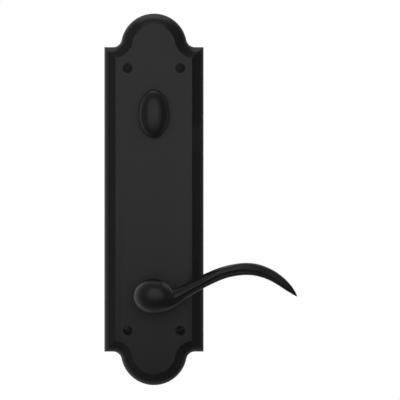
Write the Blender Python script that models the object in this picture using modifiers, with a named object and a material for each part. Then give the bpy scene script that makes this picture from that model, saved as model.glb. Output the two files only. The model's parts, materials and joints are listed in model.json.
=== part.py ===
"""Inside trim of an entry door handleset: long domed plate, wave lever, oval turn knob and its works.

Metres, +Z up. The door face is the plane y = 0 and the trim stands out of it towards -Y. The origin is
on the door face at the middle of the plate.

Every piece is modelled in face coordinates: x to the right, y up and z out of the door towards the
viewer, so a piece's z is its height above the door face. The empty door_face turns them upright.
"""

import math

import bmesh
import bpy
from mathutils import Matrix, Vector

# Clearances
SEAT_GAP = 0.0003  # between faces that rest on each other
RUNNING_GAP = 0.0002  # all round a shaft in its bore

# Plate outline, seen from the front
PLATE_WIDTH = 0.0762
SHOULDER_SPAN = 0.2341  # from the lower shoulders to the upper ones
DOME_RADIUS = 0.0254
DOME_LIFT = 0.0004  # the dome's centre above its shoulders
COVE_RADIUS = 0.0068  # hollow curve between shoulder and dome

# Plate section, from the outer edge inwards
PLATE_DEPTH = 0.0110
EDGE_WALL = 0.0018
BORDER_WIDTH = 0.0086
ROUND_RADIUS = 0.0080
EDGE_TILT = 80  # degrees that the moulding leans outwards at its outer edge
MIDDLE_TILT = 24  # where its round meets its hollow
HOLLOW_TILT = 30
FIELD_STEP = 0.0014  # the field's edge stands this far above the moulding
STEP_RUN = 0.0003
FIELD_ARRIS = 0.0003
FIELD_WALL = 0.0030
BORDER_WALL = 0.0030
RIM_WIDTH = 0.0028
ROOF_MARGIN = 0.0010  # the hollow's roof starts this far inside the field's edge

# Where things sit on the plate
SCREW_INSET = 0.0162  # from the shoulders to the rows of screws
SCREW_SPACING = 0.0405
LEVER_TO_SCREWS = 0.0267
BORE_SPACING = 0.1397  # lever axis to turn knob axis

# Plate screws
HEAD_RADIUS = 0.0036
HEAD_CROWN = 0.0008
COUNTERSINK_DEPTH = 0.0022
SHANK_RADIUS = 0.0018
SCREW_LENGTH = 0.0320
SCREW_POINT = 0.0040
RECESS_SPAN = 0.0036
RECESS_WIDTH = 0.0008
RECESS_DEPTH = 0.0018
RECESS_FLOOR_SPAN = 0.35  # the floor's size as shares of the recess's span and width
RECESS_FLOOR_WIDTH = 0.7
SCREW_BOSS_RADIUS = 0.0052

# Ribs and pad behind the plate
RIB_THICKNESS = 0.0020
RIB_SETBACK = 0.0006
PAD_RADIUS = 0.0050

# Lever bearing
LEVER_SHANK_RADIUS = 0.0090
LEVER_BUSHING_WALL = 0.0018
LEVER_FLANGE_RADIUS = 0.0128
LEVER_FLANGE = 0.0010
LEVER_WASHER = 0.0005
LEVER_RING = 0.0010
LEVER_RING_RADIUS = 0.0110
GROOVE_DEPTH = 0.0008
SHANK_LAND = 0.0009
BOSS_BORE_RADIUS = 0.0130
BOSS_WALL = 0.0040

# Lever neck and bulb, out from the plate
NECK_SHOULDER_RADIUS = 0.0118
NECK_SHOULDER = 0.0016
NECK_WAIST_RADIUS = 0.0090
NECK_FLARE_RADIUS = 0.0104
BULB_STANDOFF = 0.0440  # the bulb's centre above the door face
BULB_HALF_LENGTH = 0.0153
BULB_HALF_HEIGHT = 0.0129
BULB_HALF_DEPTH = 0.0130
LEVER_REACH = 0.1102  # lever axis to the tip
LEVER_RISE = 0.0208  # the arm's crown above the lever axis
ARM_HALF_HEIGHT = 0.0048
ARM_HALF_DEPTH = 0.0056
ARM_BOW = 0.0030  # how far the arm bows out before its tip turns back to the door
LEVER_SWING = 50  # degrees, either way

# Spindle and set screw
SPINDLE_SIDE = 0.0080
SPINDLE_REACH = 0.0350  # behind the door face
SPINDLE_SEAT = 0.0230  # how deep the spindle goes into the neck
SPINDLE_CHAMFER = 0.0008
SET_SCREW_RADIUS = 0.0025
SET_SCREW_KEY = 0.0025
SET_SCREW_HEIGHT = 0.0200
SET_SCREW_SINK = 0.0006

# Return spring cassette
SHEET = 0.0010
CUP_RADIUS = 0.0225
CUP_FLANGE = 0.0015
EAR_CIRCLE = 0.0275
EAR_RADIUS = 0.0040
POST_RADIUS = 0.0036
JOURNAL_RADIUS = 0.0072
BARREL_RADIUS = 0.0080
HUB_DISC = 0.0015
HUB_DISC_RADIUS = 0.0160
TANG_WIDTH = 0.0060
TANG_DEPTH = 0.0040
LUG_DEPTH = 0.0033
STOP_WIDTH = 0.0040
STOP_REACH = 0.0030
RADIAL_CLEARANCE = 0.0012
WIRE_DIAMETER = 0.0020
COIL_CLEARANCE = 0.0010
COIL_GAP = 0.0003
COIL_TURNS = 3
CASSETTE_SCREW_RADIUS = 0.0015
CASSETTE_SCREW_BITE = 0.0065
CASSETTE_HEAD_RADIUS = 0.0028
CASSETTE_HEAD = 0.0012

# Turn knob
KNOB_WIDTH = 0.0230
KNOB_HEIGHT = 0.0370
KNOB_RIM_HEIGHT = 0.0215
KNOB_CROWN = 0.0072
KNOB_BACK = 0.0052
KNOB_NECK_RADIUS = 0.0066
STEM_RADIUS = 0.0050
STEM_TAIL = 0.0045
TURN_BUSHING_WALL = 0.0018
TURN_FLANGE_RADIUS = 0.0086
TURN_FLANGE = 0.0008
TURN_WASHER = 0.0005
WAVE_HEIGHT = 0.0002
TURN_CLIP = 0.0010
TURN_CLIP_RADIUS = 0.0080
TURN_BOSS_BORE_RADIUS = 0.0094
TURN_BOSS_WALL = 0.0026
TURN_BOSS_HEIGHT = 0.0045
BLADE_WIDTH = 0.0060
BLADE_THICKNESS = 0.0024
BLADE_SEAT = 0.0080
BLADE_REACH = 0.0450
PIN_RADIUS = 0.0009

# How finely round things are cut
FINE = 40
MEDIUM = 28
COARSE = 16
OUTLINE_STEPS = 9
ROUND_STEPS = 5
HOLLOW_STEPS = 2
ARM_STEPS = 2
ARM_BACK_STEPS = 9
NECK_STEPS = 8
COIL_STEPS = 20
CROWN_STEPS = 4

# Heights above the door face that several pieces share
ROOF = PLATE_DEPTH - FIELD_WALL
SHOULDER = SHOULDER_SPAN / 2
SCREW_ROW = SHOULDER - SCREW_INSET
LEVER_Y = LEVER_TO_SCREWS - SCREW_ROW
TURN_Y = LEVER_Y + BORE_SPACING

LEVER_BORE = LEVER_SHANK_RADIUS + RUNNING_GAP + LEVER_BUSHING_WALL + RUNNING_GAP
LEVER_FLANGE_FRONT = PLATE_DEPTH + SEAT_GAP + LEVER_FLANGE
NECK_BACK = LEVER_FLANGE_FRONT + SEAT_GAP
LEVER_WASHER_FRONT = ROOF - SEAT_GAP
LEVER_RING_FRONT = LEVER_WASHER_FRONT - LEVER_WASHER - SEAT_GAP
LEVER_RING_BACK = LEVER_RING_FRONT - LEVER_RING
SHANK_END = LEVER_RING_BACK - SEAT_GAP - SHANK_LAND
BOSS_BACK = SHANK_END - SEAT_GAP
BOSS_RADIUS = BOSS_BORE_RADIUS + BOSS_WALL

BASE_FRONT = BOSS_BACK - SEAT_GAP
BASE_BACK = BASE_FRONT - SHEET
CUP_FRONT = BASE_BACK - SEAT_GAP
CUP_FLANGE_BACK = CUP_FRONT - SHEET
CUP_FLANGE_RADIUS = CUP_RADIUS + SHEET + CUP_FLANGE
DISC_FRONT = BASE_BACK - SEAT_GAP
DISC_BACK = DISC_FRONT - HUB_DISC
COIL_FRONT = DISC_BACK - SEAT_GAP - WIRE_DIAMETER / 2
COIL_BACK = COIL_FRONT - COIL_TURNS * (WIRE_DIAMETER + COIL_GAP)
BARREL_BACK = COIL_BACK - WIRE_DIAMETER / 2 - SEAT_GAP
CUP_FLOOR = BARREL_BACK - SEAT_GAP
CUP_BACK = CUP_FLOOR - SHEET
COIL_RADIUS = BARREL_RADIUS + COIL_CLEARANCE + WIRE_DIAMETER / 2
TANG_OUTER = HUB_DISC_RADIUS
TANG_INNER = TANG_OUTER - TANG_DEPTH
LUG_INNER = TANG_OUTER + RADIAL_CLEARANCE
LEG_OFFSET = TANG_WIDTH / 2 + SEAT_GAP + WIRE_DIAMETER / 2

TURN_BORE = STEM_RADIUS + RUNNING_GAP + TURN_BUSHING_WALL + RUNNING_GAP
TURN_FLANGE_FRONT = PLATE_DEPTH + SEAT_GAP + TURN_FLANGE
KNOB_NECK_BACK = TURN_FLANGE_FRONT + SEAT_GAP
TURN_WASHER_FRONT = ROOF - SEAT_GAP - WAVE_HEIGHT
TURN_CLIP_FRONT = TURN_WASHER_FRONT - TURN_WASHER - WAVE_HEIGHT - SEAT_GAP
TURN_CLIP_BACK = TURN_CLIP_FRONT - TURN_CLIP
STEM_END = TURN_CLIP_BACK - SEAT_GAP - STEM_TAIL


# Scene, collections, materials


def clear_scene():
    for obj in list(bpy.data.objects):
        bpy.data.objects.remove(obj)


def new_collection(name):
    collection = bpy.data.collections.new(name)
    bpy.context.scene.collection.children.link(collection)
    return collection


def new_material(name, colour, roughness, metallic):
    material = bpy.data.materials.new(name)
    material.use_nodes = True
    shader = material.node_tree.nodes["Principled BSDF"]
    shader.inputs["Base Color"].default_value = (*colour, 1)
    shader.inputs["Roughness"].default_value = roughness
    shader.inputs["Metallic"].default_value = metallic
    return material


def new_empty(name, parent=None, location=(0, 0, 0)):
    empty = bpy.data.objects.new(name, None)
    empty.location = location
    empty.parent = parent
    empty.empty_display_size = 0.02
    PARTS.objects.link(empty)
    return empty


def new_object(name, data, parent, material, location=(0, 0, 0)):
    obj = bpy.data.objects.new(name, data)
    obj.parent = parent
    obj.location = location
    if material:
        data.materials.append(material)
        PARTS.objects.link(obj)
    else:
        obj.hide_render = True
        obj.display_type = "WIRE"
        HELPERS.objects.link(obj)
    return obj


# Shapes


def mesh_from(bm, name, smooth_angle=35):
    bmesh.ops.recalc_face_normals(bm, faces=bm.faces)
    mesh = bpy.data.meshes.new(name)
    bm.to_mesh(mesh)
    bm.free()
    mesh.shade_smooth()
    mesh.set_sharp_from_angle(angle=math.radians(smooth_angle))
    return mesh


def cylinder(name, radius, back, front, parent, material=None, location=(0, 0, 0), sides=MEDIUM):
    bm = bmesh.new()
    bmesh.ops.create_cone(
        bm, cap_ends=True, segments=sides, radius1=radius, radius2=radius, depth=front - back
    )
    bmesh.ops.translate(bm, verts=bm.verts, vec=(0, 0, (front + back) / 2))
    return new_object(name, mesh_from(bm, name), parent, material, location)


def box(name, size, centre, parent, material=None, turn=0.0):
    """A box of this size whose centre is turned about the parent's z axis by turn radians."""
    bm = bmesh.new()
    bmesh.ops.create_cube(bm, size=1)
    bmesh.ops.scale(bm, verts=bm.verts, vec=size)
    bmesh.ops.translate(bm, verts=bm.verts, vec=centre)
    bmesh.ops.rotate(bm, verts=bm.verts, matrix=Matrix.Rotation(turn, 3, "Z"))
    return new_object(name, mesh_from(bm, name), parent, material)


def turned(name, profile, parent, material=None, location=(0, 0, 0), sides=MEDIUM, closed=False):
    """A turned piece. The profile's (radius, height) points run down its outer side, front to back."""
    count = len(profile)
    edges = [(i, i + 1) for i in range(count - 1)]
    if closed:
        edges.append((count - 1, 0))
    mesh = bpy.data.meshes.new(name)
    mesh.from_pydata([(radius, 0, height) for radius, height in profile], edges, [])
    obj = new_object(name, mesh, parent, material, location)
    screw = obj.modifiers.new("turn", "SCREW")
    screw.steps = screw.render_steps = sides
    screw.use_merge_vertices = True
    screw.merge_threshold = 0.00001
    screw.use_smooth_shade = True
    return obj


def flat_piece(name, outlines, back, front, parent, material=None):
    """A flat piece between two heights, from closed outlines: the first is its edge, the rest are holes."""
    curve = bpy.data.curves.new(name, "CURVE")
    curve.dimensions = "2D"
    curve.fill_mode = "BOTH"
    curve.extrude = (front - back) / 2
    for outline in outlines:
        spline = curve.splines.new("POLY")
        spline.points.add(len(outline) - 1)
        for point, (x, y) in zip(spline.points, outline):
            point.co = (x, y, 0, 1)
        spline.use_cyclic_u = True
    return new_object(name, curve, parent, material, (0, 0, (front + back) / 2))


def as_mesh(obj):
    """The same piece as a mesh, with its loose caps welded on, so that it can be cut or joined."""
    graph = bpy.context.evaluated_depsgraph_get()
    mesh = bpy.data.meshes.new_from_object(obj.evaluated_get(graph))
    bm = bmesh.new()
    bm.from_mesh(mesh)
    bmesh.ops.remove_doubles(bm, verts=bm.verts, dist=0.000001)
    bm.to_mesh(mesh)
    bm.free()
    name, parent, place = obj.name, obj.parent, obj.location.copy()
    material = obj.data.materials[0] if obj.data.materials else None
    mesh.materials.clear()
    bpy.data.objects.remove(obj)
    return new_object(name, mesh, parent, material, place)


def combine(obj, operation, *others):
    for other in others:
        modifier = obj.modifiers.new(f"{operation.lower()}_{other.name}", "BOOLEAN")
        modifier.operation = operation
        modifier.object = other


def join(obj, *others):
    combine(obj, "UNION", *others)


def cut(obj, *others):
    combine(obj, "DIFFERENCE", *others)


def circle_points(radius, centre=(0, 0), sides=MEDIUM, start=0.0, end=math.tau):
    whole = abs(end - start - math.tau) < 1e-9
    steps = sides if whole else max(2, round(sides * abs(end - start) / math.tau))
    count = steps if whole else steps + 1
    angles = [start + (end - start) * i / steps for i in range(count)]
    return [(centre[0] + radius * math.cos(a), centre[1] + radius * math.sin(a)) for a in angles]


# Escutcheon plate


def plate_quarter(inset):
    """The outline's upper right quarter, moved in by inset: shoulder corner, cove, then the dome's apex."""
    side = PLATE_WIDTH / 2 - inset
    dome_y = SHOULDER + DOME_LIFT
    cove_y = SHOULDER + COVE_RADIUS
    reach = DOME_RADIUS + COVE_RADIUS
    cove_x = math.sqrt(reach**2 - (cove_y - dome_y) ** 2)
    meet = math.atan2(cove_y - dome_y, cove_x)
    radius = COVE_RADIUS + inset
    past = max(0.0, cove_x - side)
    first = 1.5 * math.pi - math.asin(past / radius)
    cove = circle_points(radius, (cove_x, cove_y), 8 * OUTLINE_STEPS, first, math.pi + meet)
    path = ([(side, SHOULDER - inset)] if side > cove_x else []) + cove
    dome = circle_points(DOME_RADIUS - inset, (0, dome_y), 4 * OUTLINE_STEPS, meet, math.pi / 2)
    return evenly(path, OUTLINE_STEPS) + dome[1:]


def evenly(path, steps):
    """The path again, with points at equal distances along it."""
    lengths = [0.0]
    for a, b in zip(path, path[1:]):
        lengths.append(lengths[-1] + math.dist(a, b))
    points = []
    leg = 0
    for i in range(steps + 1):
        target = lengths[-1] * i / steps
        while leg < len(path) - 2 and lengths[leg + 1] < target:
            leg += 1
        share = (target - lengths[leg]) / (lengths[leg + 1] - lengths[leg])
        points.append(tuple(Vector(path[leg]).lerp(Vector(path[leg + 1]), share)))
    return points


def plate_outline(inset):
    """The whole outline, anticlockwise from the upper right shoulder."""
    quarter = plate_quarter(inset)
    left = [(-x, y) for x, y in reversed(quarter[:-1])]
    upper = quarter + left
    return upper + [(-x, -y) for x, y in upper]


def ogee():
    """The border moulding as (inset, height): a round, a shallow hollow, then the step up to the field."""
    start, middle, end = (math.radians(tilt) for tilt in (EDGE_TILT, MIDDLE_TILT, HOLLOW_TILT))
    round_run = ROUND_RADIUS * (math.sin(start) - math.sin(middle))
    round_rise = ROUND_RADIUS * (math.cos(middle) - math.cos(start))
    hollow_run = BORDER_WIDTH - STEP_RUN - round_run
    hollow_radius = hollow_run / (math.sin(end) - math.sin(middle))
    rise = round_rise + hollow_radius * (math.cos(middle) - math.cos(end))
    stretch = (PLATE_DEPTH - FIELD_ARRIS - FIELD_STEP - EDGE_WALL) / rise
    points = []
    for i in range(ROUND_STEPS):
        tilt = start + (middle - start) * i / ROUND_STEPS
        run = ROUND_RADIUS * (math.sin(start) - math.sin(tilt))
        points.append((run, ROUND_RADIUS * (math.cos(tilt) - math.cos(start))))
    for i in range(HOLLOW_STEPS + 1):
        tilt = middle + (end - middle) * i / HOLLOW_STEPS
        run = round_run + hollow_radius * (math.sin(tilt) - math.sin(middle))
        points.append((run, round_rise + hollow_radius * (math.cos(middle) - math.cos(tilt))))
    moulding = [(run, EDGE_WALL + stretch * height) for run, height in points]
    return moulding + [(BORDER_WIDTH, PLATE_DEPTH - FIELD_ARRIS)]


def in_the_wall(depth):
    """Inset and height of a point this deep in the border's wall, in from the middle of its round."""
    half = ROUND_STEPS // 2
    inset, height = ogee()[half]
    tilt = math.radians(EDGE_TILT + (MIDDLE_TILT - EDGE_TILT) * half / ROUND_STEPS)
    return inset + depth * math.sin(tilt), height - depth * math.cos(tilt)


def plate_shell():
    """The plate as cast: border, field and hollow back, before its bosses and bores."""
    section = [(BORDER_WIDTH + ROOF_MARGIN, ROOF), in_the_wall(BORDER_WALL), (RIM_WIDTH, 0), (0, 0)]
    section += ogee() + [(BORDER_WIDTH + FIELD_ARRIS, PLATE_DEPTH)]
    bm = bmesh.new()
    rings = []
    for inset, height in section:
        rings.append([bm.verts.new((x, y, height)) for x, y in plate_outline(inset)])
    for lower, upper in zip(rings, rings[1:]):
        for i, here in enumerate(lower):
            bm.faces.new((lower[i - 1], here, upper[i], upper[i - 1]))
    bm.faces.new(rings[0])
    bm.faces.new(rings[-1])
    return mesh_from(bm, "escutcheon_plate")


def screw_places():
    for row, y in (("upper", SCREW_ROW), ("lower", -SCREW_ROW)):
        for side, x in (("left", -SCREW_SPACING / 2), ("right", SCREW_SPACING / 2)):
            yield f"{row}_{side}", (x, y, 0)


def ear_places():
    yield "upper", (0, EAR_CIRCLE, 0)
    yield "lower", (0, -EAR_CIRCLE, 0)


def make_cross_rib(top):
    """Rib across the plate's middle. Its ends run up inside the border's wall."""
    end = [(RIM_WIDTH, RIB_SETBACK), in_the_wall(BORDER_WALL / 2), (BORDER_WIDTH, top)]
    right = [(PLATE_WIDTH / 2 - inset, height) for inset, height in end]
    left = [(-x, height) for x, height in reversed(right)]
    bm = bmesh.new()
    side = bm.faces.new([bm.verts.new((x, -RIB_THICKNESS / 2, height)) for x, height in right + left])
    made = bmesh.ops.extrude_face_region(bm, geom=[side])
    corners = [item for item in made["geom"] if isinstance(item, bmesh.types.BMVert)]
    bmesh.ops.translate(bm, verts=corners, vec=(0, RIB_THICKNESS, 0))
    return new_object("cross_rib", mesh_from(bm, "cross_rib"), DOOR, None)


def make_plate():
    plate = new_object("escutcheon_plate", plate_shell(), DOOR, BLACK)
    into = ROOF + FIELD_WALL / 2
    upper_end = TURN_Y - TURN_BOSS_BORE_RADIUS - TURN_BOSS_WALL / 2
    lower_end = LEVER_Y + EAR_CIRCLE + EAR_RADIUS + RADIAL_CLEARANCE
    height = into - RIB_SETBACK
    middle = (into + RIB_SETBACK) / 2
    spine = box(
        "spine_rib",
        (RIB_THICKNESS, upper_end - lower_end, height),
        (0, (upper_end + lower_end) / 2, middle),
        DOOR,
    )
    join(plate, spine, make_cross_rib(into))
    join(plate, cylinder("middle_pad", PAD_RADIUS, 0, into, DOOR, sides=COARSE))
    for name, place in screw_places():
        boss = cylinder(f"screw_boss_{name}", SCREW_BOSS_RADIUS, 0, into, DOOR, None, place, COARSE)
        join(plate, boss)
    lever_boss = cylinder("lever_boss", BOSS_RADIUS, BOSS_BACK, into, LEVER_AXIS, sides=FINE)
    turn_boss_radius = TURN_BOSS_BORE_RADIUS + TURN_BOSS_WALL
    turn_boss_back = ROOF - TURN_BOSS_HEIGHT
    turn_boss = cylinder("turn_boss", turn_boss_radius, turn_boss_back, into, TURN_AXIS)
    join(plate, lever_boss, turn_boss)
    for name, place in ear_places():
        post = cylinder(f"post_{name}", POST_RADIUS, BOSS_BACK, into, LEVER_AXIS, None, place, COARSE)
        join(plate, post)
    beyond = PLATE_DEPTH + FIELD_WALL
    behind = -FIELD_WALL
    cut(
        plate,
        cylinder("lever_bore", LEVER_BORE, behind, beyond, LEVER_AXIS, sides=FINE),
        cylinder("lever_boss_bore", BOSS_BORE_RADIUS, behind, ROOF, LEVER_AXIS, sides=FINE),
        cylinder("turn_bore", TURN_BORE, behind, beyond, TURN_AXIS),
        cylinder("turn_boss_bore", TURN_BOSS_BORE_RADIUS, behind, ROOF, TURN_AXIS),
    )
    for name, place in screw_places():
        cut(plate, screw_seat(f"screw_hole_{name}", place))
    pilot_end = CUP_FLANGE_BACK + CASSETTE_SCREW_BITE
    pilot = CASSETTE_SCREW_RADIUS + RUNNING_GAP
    for name, place in ear_places():
        cut(plate, cylinder(f"pilot_{name}", pilot, behind, pilot_end, LEVER_AXIS, None, place, COARSE))
    return plate


# Plate screws


def screw_seat(name, place):
    """Cutter for one countersunk hole, a seat gap wider than the screw."""
    head, shank = HEAD_RADIUS + SEAT_GAP, SHANK_RADIUS + SEAT_GAP
    behind = -FIELD_WALL
    top = PLATE_DEPTH + FIELD_WALL
    profile = [(0, top), (head, top), (head, PLATE_DEPTH), (shank, PLATE_DEPTH - COUNTERSINK_DEPTH)]
    profile += [(shank, behind), (0, behind)]
    return turned(name, profile, DOOR, None, place, COARSE)


def make_plate_screw(name, place):
    """Oval head wood screw with a cross recess. It lies a seat gap in front of the countersink."""
    face = PLATE_DEPTH
    crown_radius = (HEAD_RADIUS**2 + HEAD_CROWN**2) / (2 * HEAD_CROWN)
    profile = []
    for i in range(CROWN_STEPS):
        radius = HEAD_RADIUS * i / CROWN_STEPS
        drop = crown_radius - math.sqrt(crown_radius**2 - radius**2)
        profile.append((radius, face + HEAD_CROWN - drop))
    tip = face - SCREW_LENGTH
    profile += [(HEAD_RADIUS, face), (SHANK_RADIUS, face - COUNTERSINK_DEPTH)]
    profile += [(SHANK_RADIUS, tip + SCREW_POINT), (0, tip)]
    screw = turned(f"plate_screw_{name}", profile, DOOR, BLACK_SCREW, place, COARSE)
    for arm, turn in (("a", 0), ("b", math.pi / 2)):
        slot = cross_slot(f"recess_{name}_{arm}", face + HEAD_CROWN, turn)
        slot.location = place
        cut(screw, slot)


def cross_slot(name, top, turn):
    """One tapered wing of a cross recess, narrower at its floor."""
    bm = bmesh.new()
    bmesh.ops.create_cube(bm, size=1)
    bmesh.ops.scale(bm, verts=bm.verts, vec=(RECESS_SPAN, RECESS_WIDTH, 2 * RECESS_DEPTH))
    for vert in bm.verts:
        if vert.co.z < 0:
            vert.co.x *= RECESS_FLOOR_SPAN
            vert.co.y *= RECESS_FLOOR_WIDTH
    bmesh.ops.translate(bm, verts=bm.verts, vec=(0, 0, top))
    bmesh.ops.rotate(bm, verts=bm.verts, matrix=Matrix.Rotation(turn, 3, "Z"))
    return new_object(name, mesh_from(bm, name), DOOR, None)


# Bearings and rings


def make_bushing(name, axis, bore, wall, flange_radius, flange_front, sides):
    """Flanged sleeve through the field: its flange lies on the plate's front."""
    outer = bore + wall
    flange_back = PLATE_DEPTH + SEAT_GAP
    profile = [(bore, flange_front), (flange_radius, flange_front), (flange_radius, flange_back)]
    profile += [(outer, flange_back), (outer, ROOF), (bore, ROOF)]
    return turned(name, profile, axis, BRONZE, sides=sides, closed=True)


def make_washer(name, axis, inner, outer, front, thickness, wave=0.0, waves=3):
    """Ring that rises and falls by wave as it goes round, so that it presses like a spring."""
    back = front - thickness
    bm = bmesh.new()
    rings = []
    for radius, height in ((inner, front), (outer, front), (outer, back), (inner, back)):
        ring = []
        for i in range(FINE):
            angle = math.tau * i / FINE
            z = height + wave * math.cos(waves * angle)
            ring.append(bm.verts.new((radius * math.cos(angle), radius * math.sin(angle), z)))
        rings.append(ring)
    for this, following in zip(rings, rings[1:] + rings[:1]):
        for i in range(FINE):
            bm.faces.new((this[i - 1], this[i], following[i], following[i - 1]))
    return new_object(name, mesh_from(bm, name), axis, SPRING_STEEL)


def clip_outline(inner, relief, outer, opening, prongs):
    """Open retaining ring with inward prongs that grip the groove. Its opening points down."""
    start = -math.pi / 2 + opening / 2
    end = 1.5 * math.pi - opening / 2
    points = circle_points(outer, sides=FINE, start=start, end=end)
    sectors = 2 * prongs - 1
    span = (end - start) / sectors
    for i in reversed(range(sectors)):
        radius = inner if i % 2 == 0 else relief
        first = start + span * i
        points += circle_points(radius, sides=FINE, start=first + span * 0.94, end=first + span * 0.06)
    return points


# Lever


def arm_rows():
    """Sections of the arm, from inside the bulb to the tip.

    Each is its centre's x and y, its lean, half height and half depth. The lean turns a section with the
    arm.
    """
    along = LEVER_REACH
    up = LEVER_RISE
    high = ARM_HALF_HEIGHT
    deep = ARM_HALF_DEPTH
    return [
        (0.045 * along, -0.180 * up, 16, 1.55 * high, 1.30 * deep),
        (0.097 * along, -0.155 * up, 27, 1.44 * high, 1.28 * deep),
        (0.152 * along, -0.020 * up, 31, 1.24 * high, 1.25 * deep),
        (0.204 * along, 0.135 * up, 31, 1.10 * high, 1.20 * deep),
        (0.250 * along, 0.275 * up, 29, 1.03 * high, 1.12 * deep),
        (0.305 * along, 0.433 * up, 27, 1.00 * high, 1.05 * deep),
        (0.360 * along, 0.585 * up, 25, 1.00 * high, 1.00 * deep),
        (0.471 * along, 0.838 * up, 18, 0.97 * high, 0.96 * deep),
        (0.560 * along, 0.957 * up, 9, 0.97 * high, 0.94 * deep),
        (0.639 * along, 1.000 * up, 0, 0.98 * high, 0.92 * deep),
        (0.720 * along, 0.960 * up, -12, 0.96 * high, 0.88 * deep),
        (0.807 * along, 0.799 * up, -24, 0.88 * high, 0.80 * deep),
        (0.880 * along, 0.563 * up, -33, 0.77 * high, 0.66 * deep),
        (0.938 * along, 0.310 * up, -41, 0.58 * high, 0.50 * deep),
        (0.975 * along, 0.120 * up, -48, 0.31 * high, 0.32 * deep),
        (0.996 * along, -0.002 * up, -52, 0.06 * high, 0.08 * deep),
    ]


def smooth_rows(rows, steps):
    """The rows with steps - 1 more between each pair, on a smooth curve through all of them."""
    made = []
    for i in range(len(rows) - 1):
        before = rows[max(0, i - 1)]
        after = rows[min(len(rows) - 1, i + 2)]
        for k in range(steps):
            t = k / steps
            row = []
            for a, b, c, d in zip(before, rows[i], rows[i + 1], after):
                row.append(
                    b
                    + t * (c - a) / 2
                    + t * t * (2 * a - 5 * b + 4 * c - d) / 2
                    + t * t * t * (3 * b - a - 3 * c + d) / 2
                )
            made.append(tuple(row))
    return made + [rows[-1]]


def arm_facets(share):
    """How the arm's front is cut at this share of its reach.

    The values are the upper crease's place and height, the fullness of the bevel above it, the ridge's
    place, the slope just below the ridge and the lip's place. Places run from 1 at the arm's top edge to
    -1 at its bottom edge.
    """
    table = [
        (0.00, 0.90, 0.40, 0.65, -0.10, 0.35, -0.80),
        (0.16, 0.82, 0.56, 0.60, -0.16, 0.80, -0.76),
        (0.25, 0.52, 0.72, 0.52, -0.16, 0.80, -0.74),
        (0.33, 0.42, 0.70, 0.51, -0.19, 0.84, -0.72),
        (0.44, 0.48, 0.80, 0.53, -0.04, 0.75, -0.60),
        (0.60, 0.78, 0.82, 0.66, -0.02, 0.75, -0.52),
        (0.76, 0.78, 0.76, 0.72, 0.00, 0.35, -0.52),
        (1.00, 0.72, 0.72, 0.72, 0.12, 0.30, -0.68),
    ]
    for first, second in zip(table, table[1:]):
        if share <= second[0]:
            break
    t = min(1.0, (share - first[0]) / (second[0] - first[0]))
    return [a + (b - a) * t for a, b in zip(first[1:], second[1:])]


def arm_front(share, ratio):
    """Points (across, out) over the front, from top edge to bottom edge, in half heights and half depths.

    A bevel runs down to the crease and a face rises from there to the ridge. Below the ridge a flute
    flattens out to its lip, and then the edge is rounded.
    """
    crease, crease_out, fullness, ridge, slope, lip = arm_facets(share)
    drop = ridge - lip
    steep = slope * ratio
    soften = 0.09
    return [
        (1, 0),
        ((1 + crease) / 2, crease_out * fullness),
        (crease, crease_out),
        (ridge + soften, 1 - (1 - crease_out) * soften / (crease - ridge)),
        (ridge - soften, 1 - steep * soften),
        (ridge - drop / 2, 1 - steep * drop * 3 / 8),
        (lip, 1 - steep * drop / 2),
        (lip - 0.65 * (1 + lip), 0.70 * (1 - steep * drop / 2)),
        (-1, 0),
    ]


def arm_section(row):
    """One closed section in face coordinates, measured from the lever axis: its front, then its back."""
    x, y, lean, half_height, half_depth = row
    lean = math.radians(lean)
    share = x / LEVER_REACH
    middle = BULB_STANDOFF + ARM_BOW * math.sin(math.pi * min(1.0, share * 1.25))
    faceted = min(1.0, max(0.0, share * 10 - 1))
    shape = []
    for across, out in arm_front(share, half_height / half_depth):
        rounded = math.sqrt(1 - across**2)
        shape.append((across, rounded + (out - rounded) * faceted))
    for i in range(1, ARM_BACK_STEPS):
        angle = math.pi * i / ARM_BACK_STEPS
        shape.append((-math.cos(angle), -math.sin(angle)))
    points = []
    for across, out in shape:
        across *= half_height
        place = (x - across * math.sin(lean), y + across * math.cos(lean), middle + out * half_depth)
        points.append(Vector(place))
    return points


def arm_mesh(name, steps):
    """Arm lofted in one skin, from a flat end inside the bulb to the blunt tip."""
    bm = bmesh.new()
    rings = []
    for row in smooth_rows(arm_rows(), steps):
        rings.append([bm.verts.new(point) for point in arm_section(row)])
    for this, following in zip(rings, rings[1:]):
        for i, corner in enumerate(this):
            bm.faces.new((this[i - 1], following[i - 1], following[i], corner))
    bm.faces.new(rings[0])
    bm.faces.new(rings[-1])
    return mesh_from(bm, name, 30)


def egg(name, centre, half_sizes, parent, material=None):
    """An ellipsoid with its poles in front and behind."""
    bm = bmesh.new()
    bmesh.ops.create_uvsphere(bm, u_segments=MEDIUM, v_segments=MEDIUM // 2, radius=1)
    bmesh.ops.scale(bm, verts=bm.verts, vec=half_sizes)
    bmesh.ops.translate(bm, verts=bm.verts, vec=centre)
    return new_object(name, mesh_from(bm, name, 60), parent, material)


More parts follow.
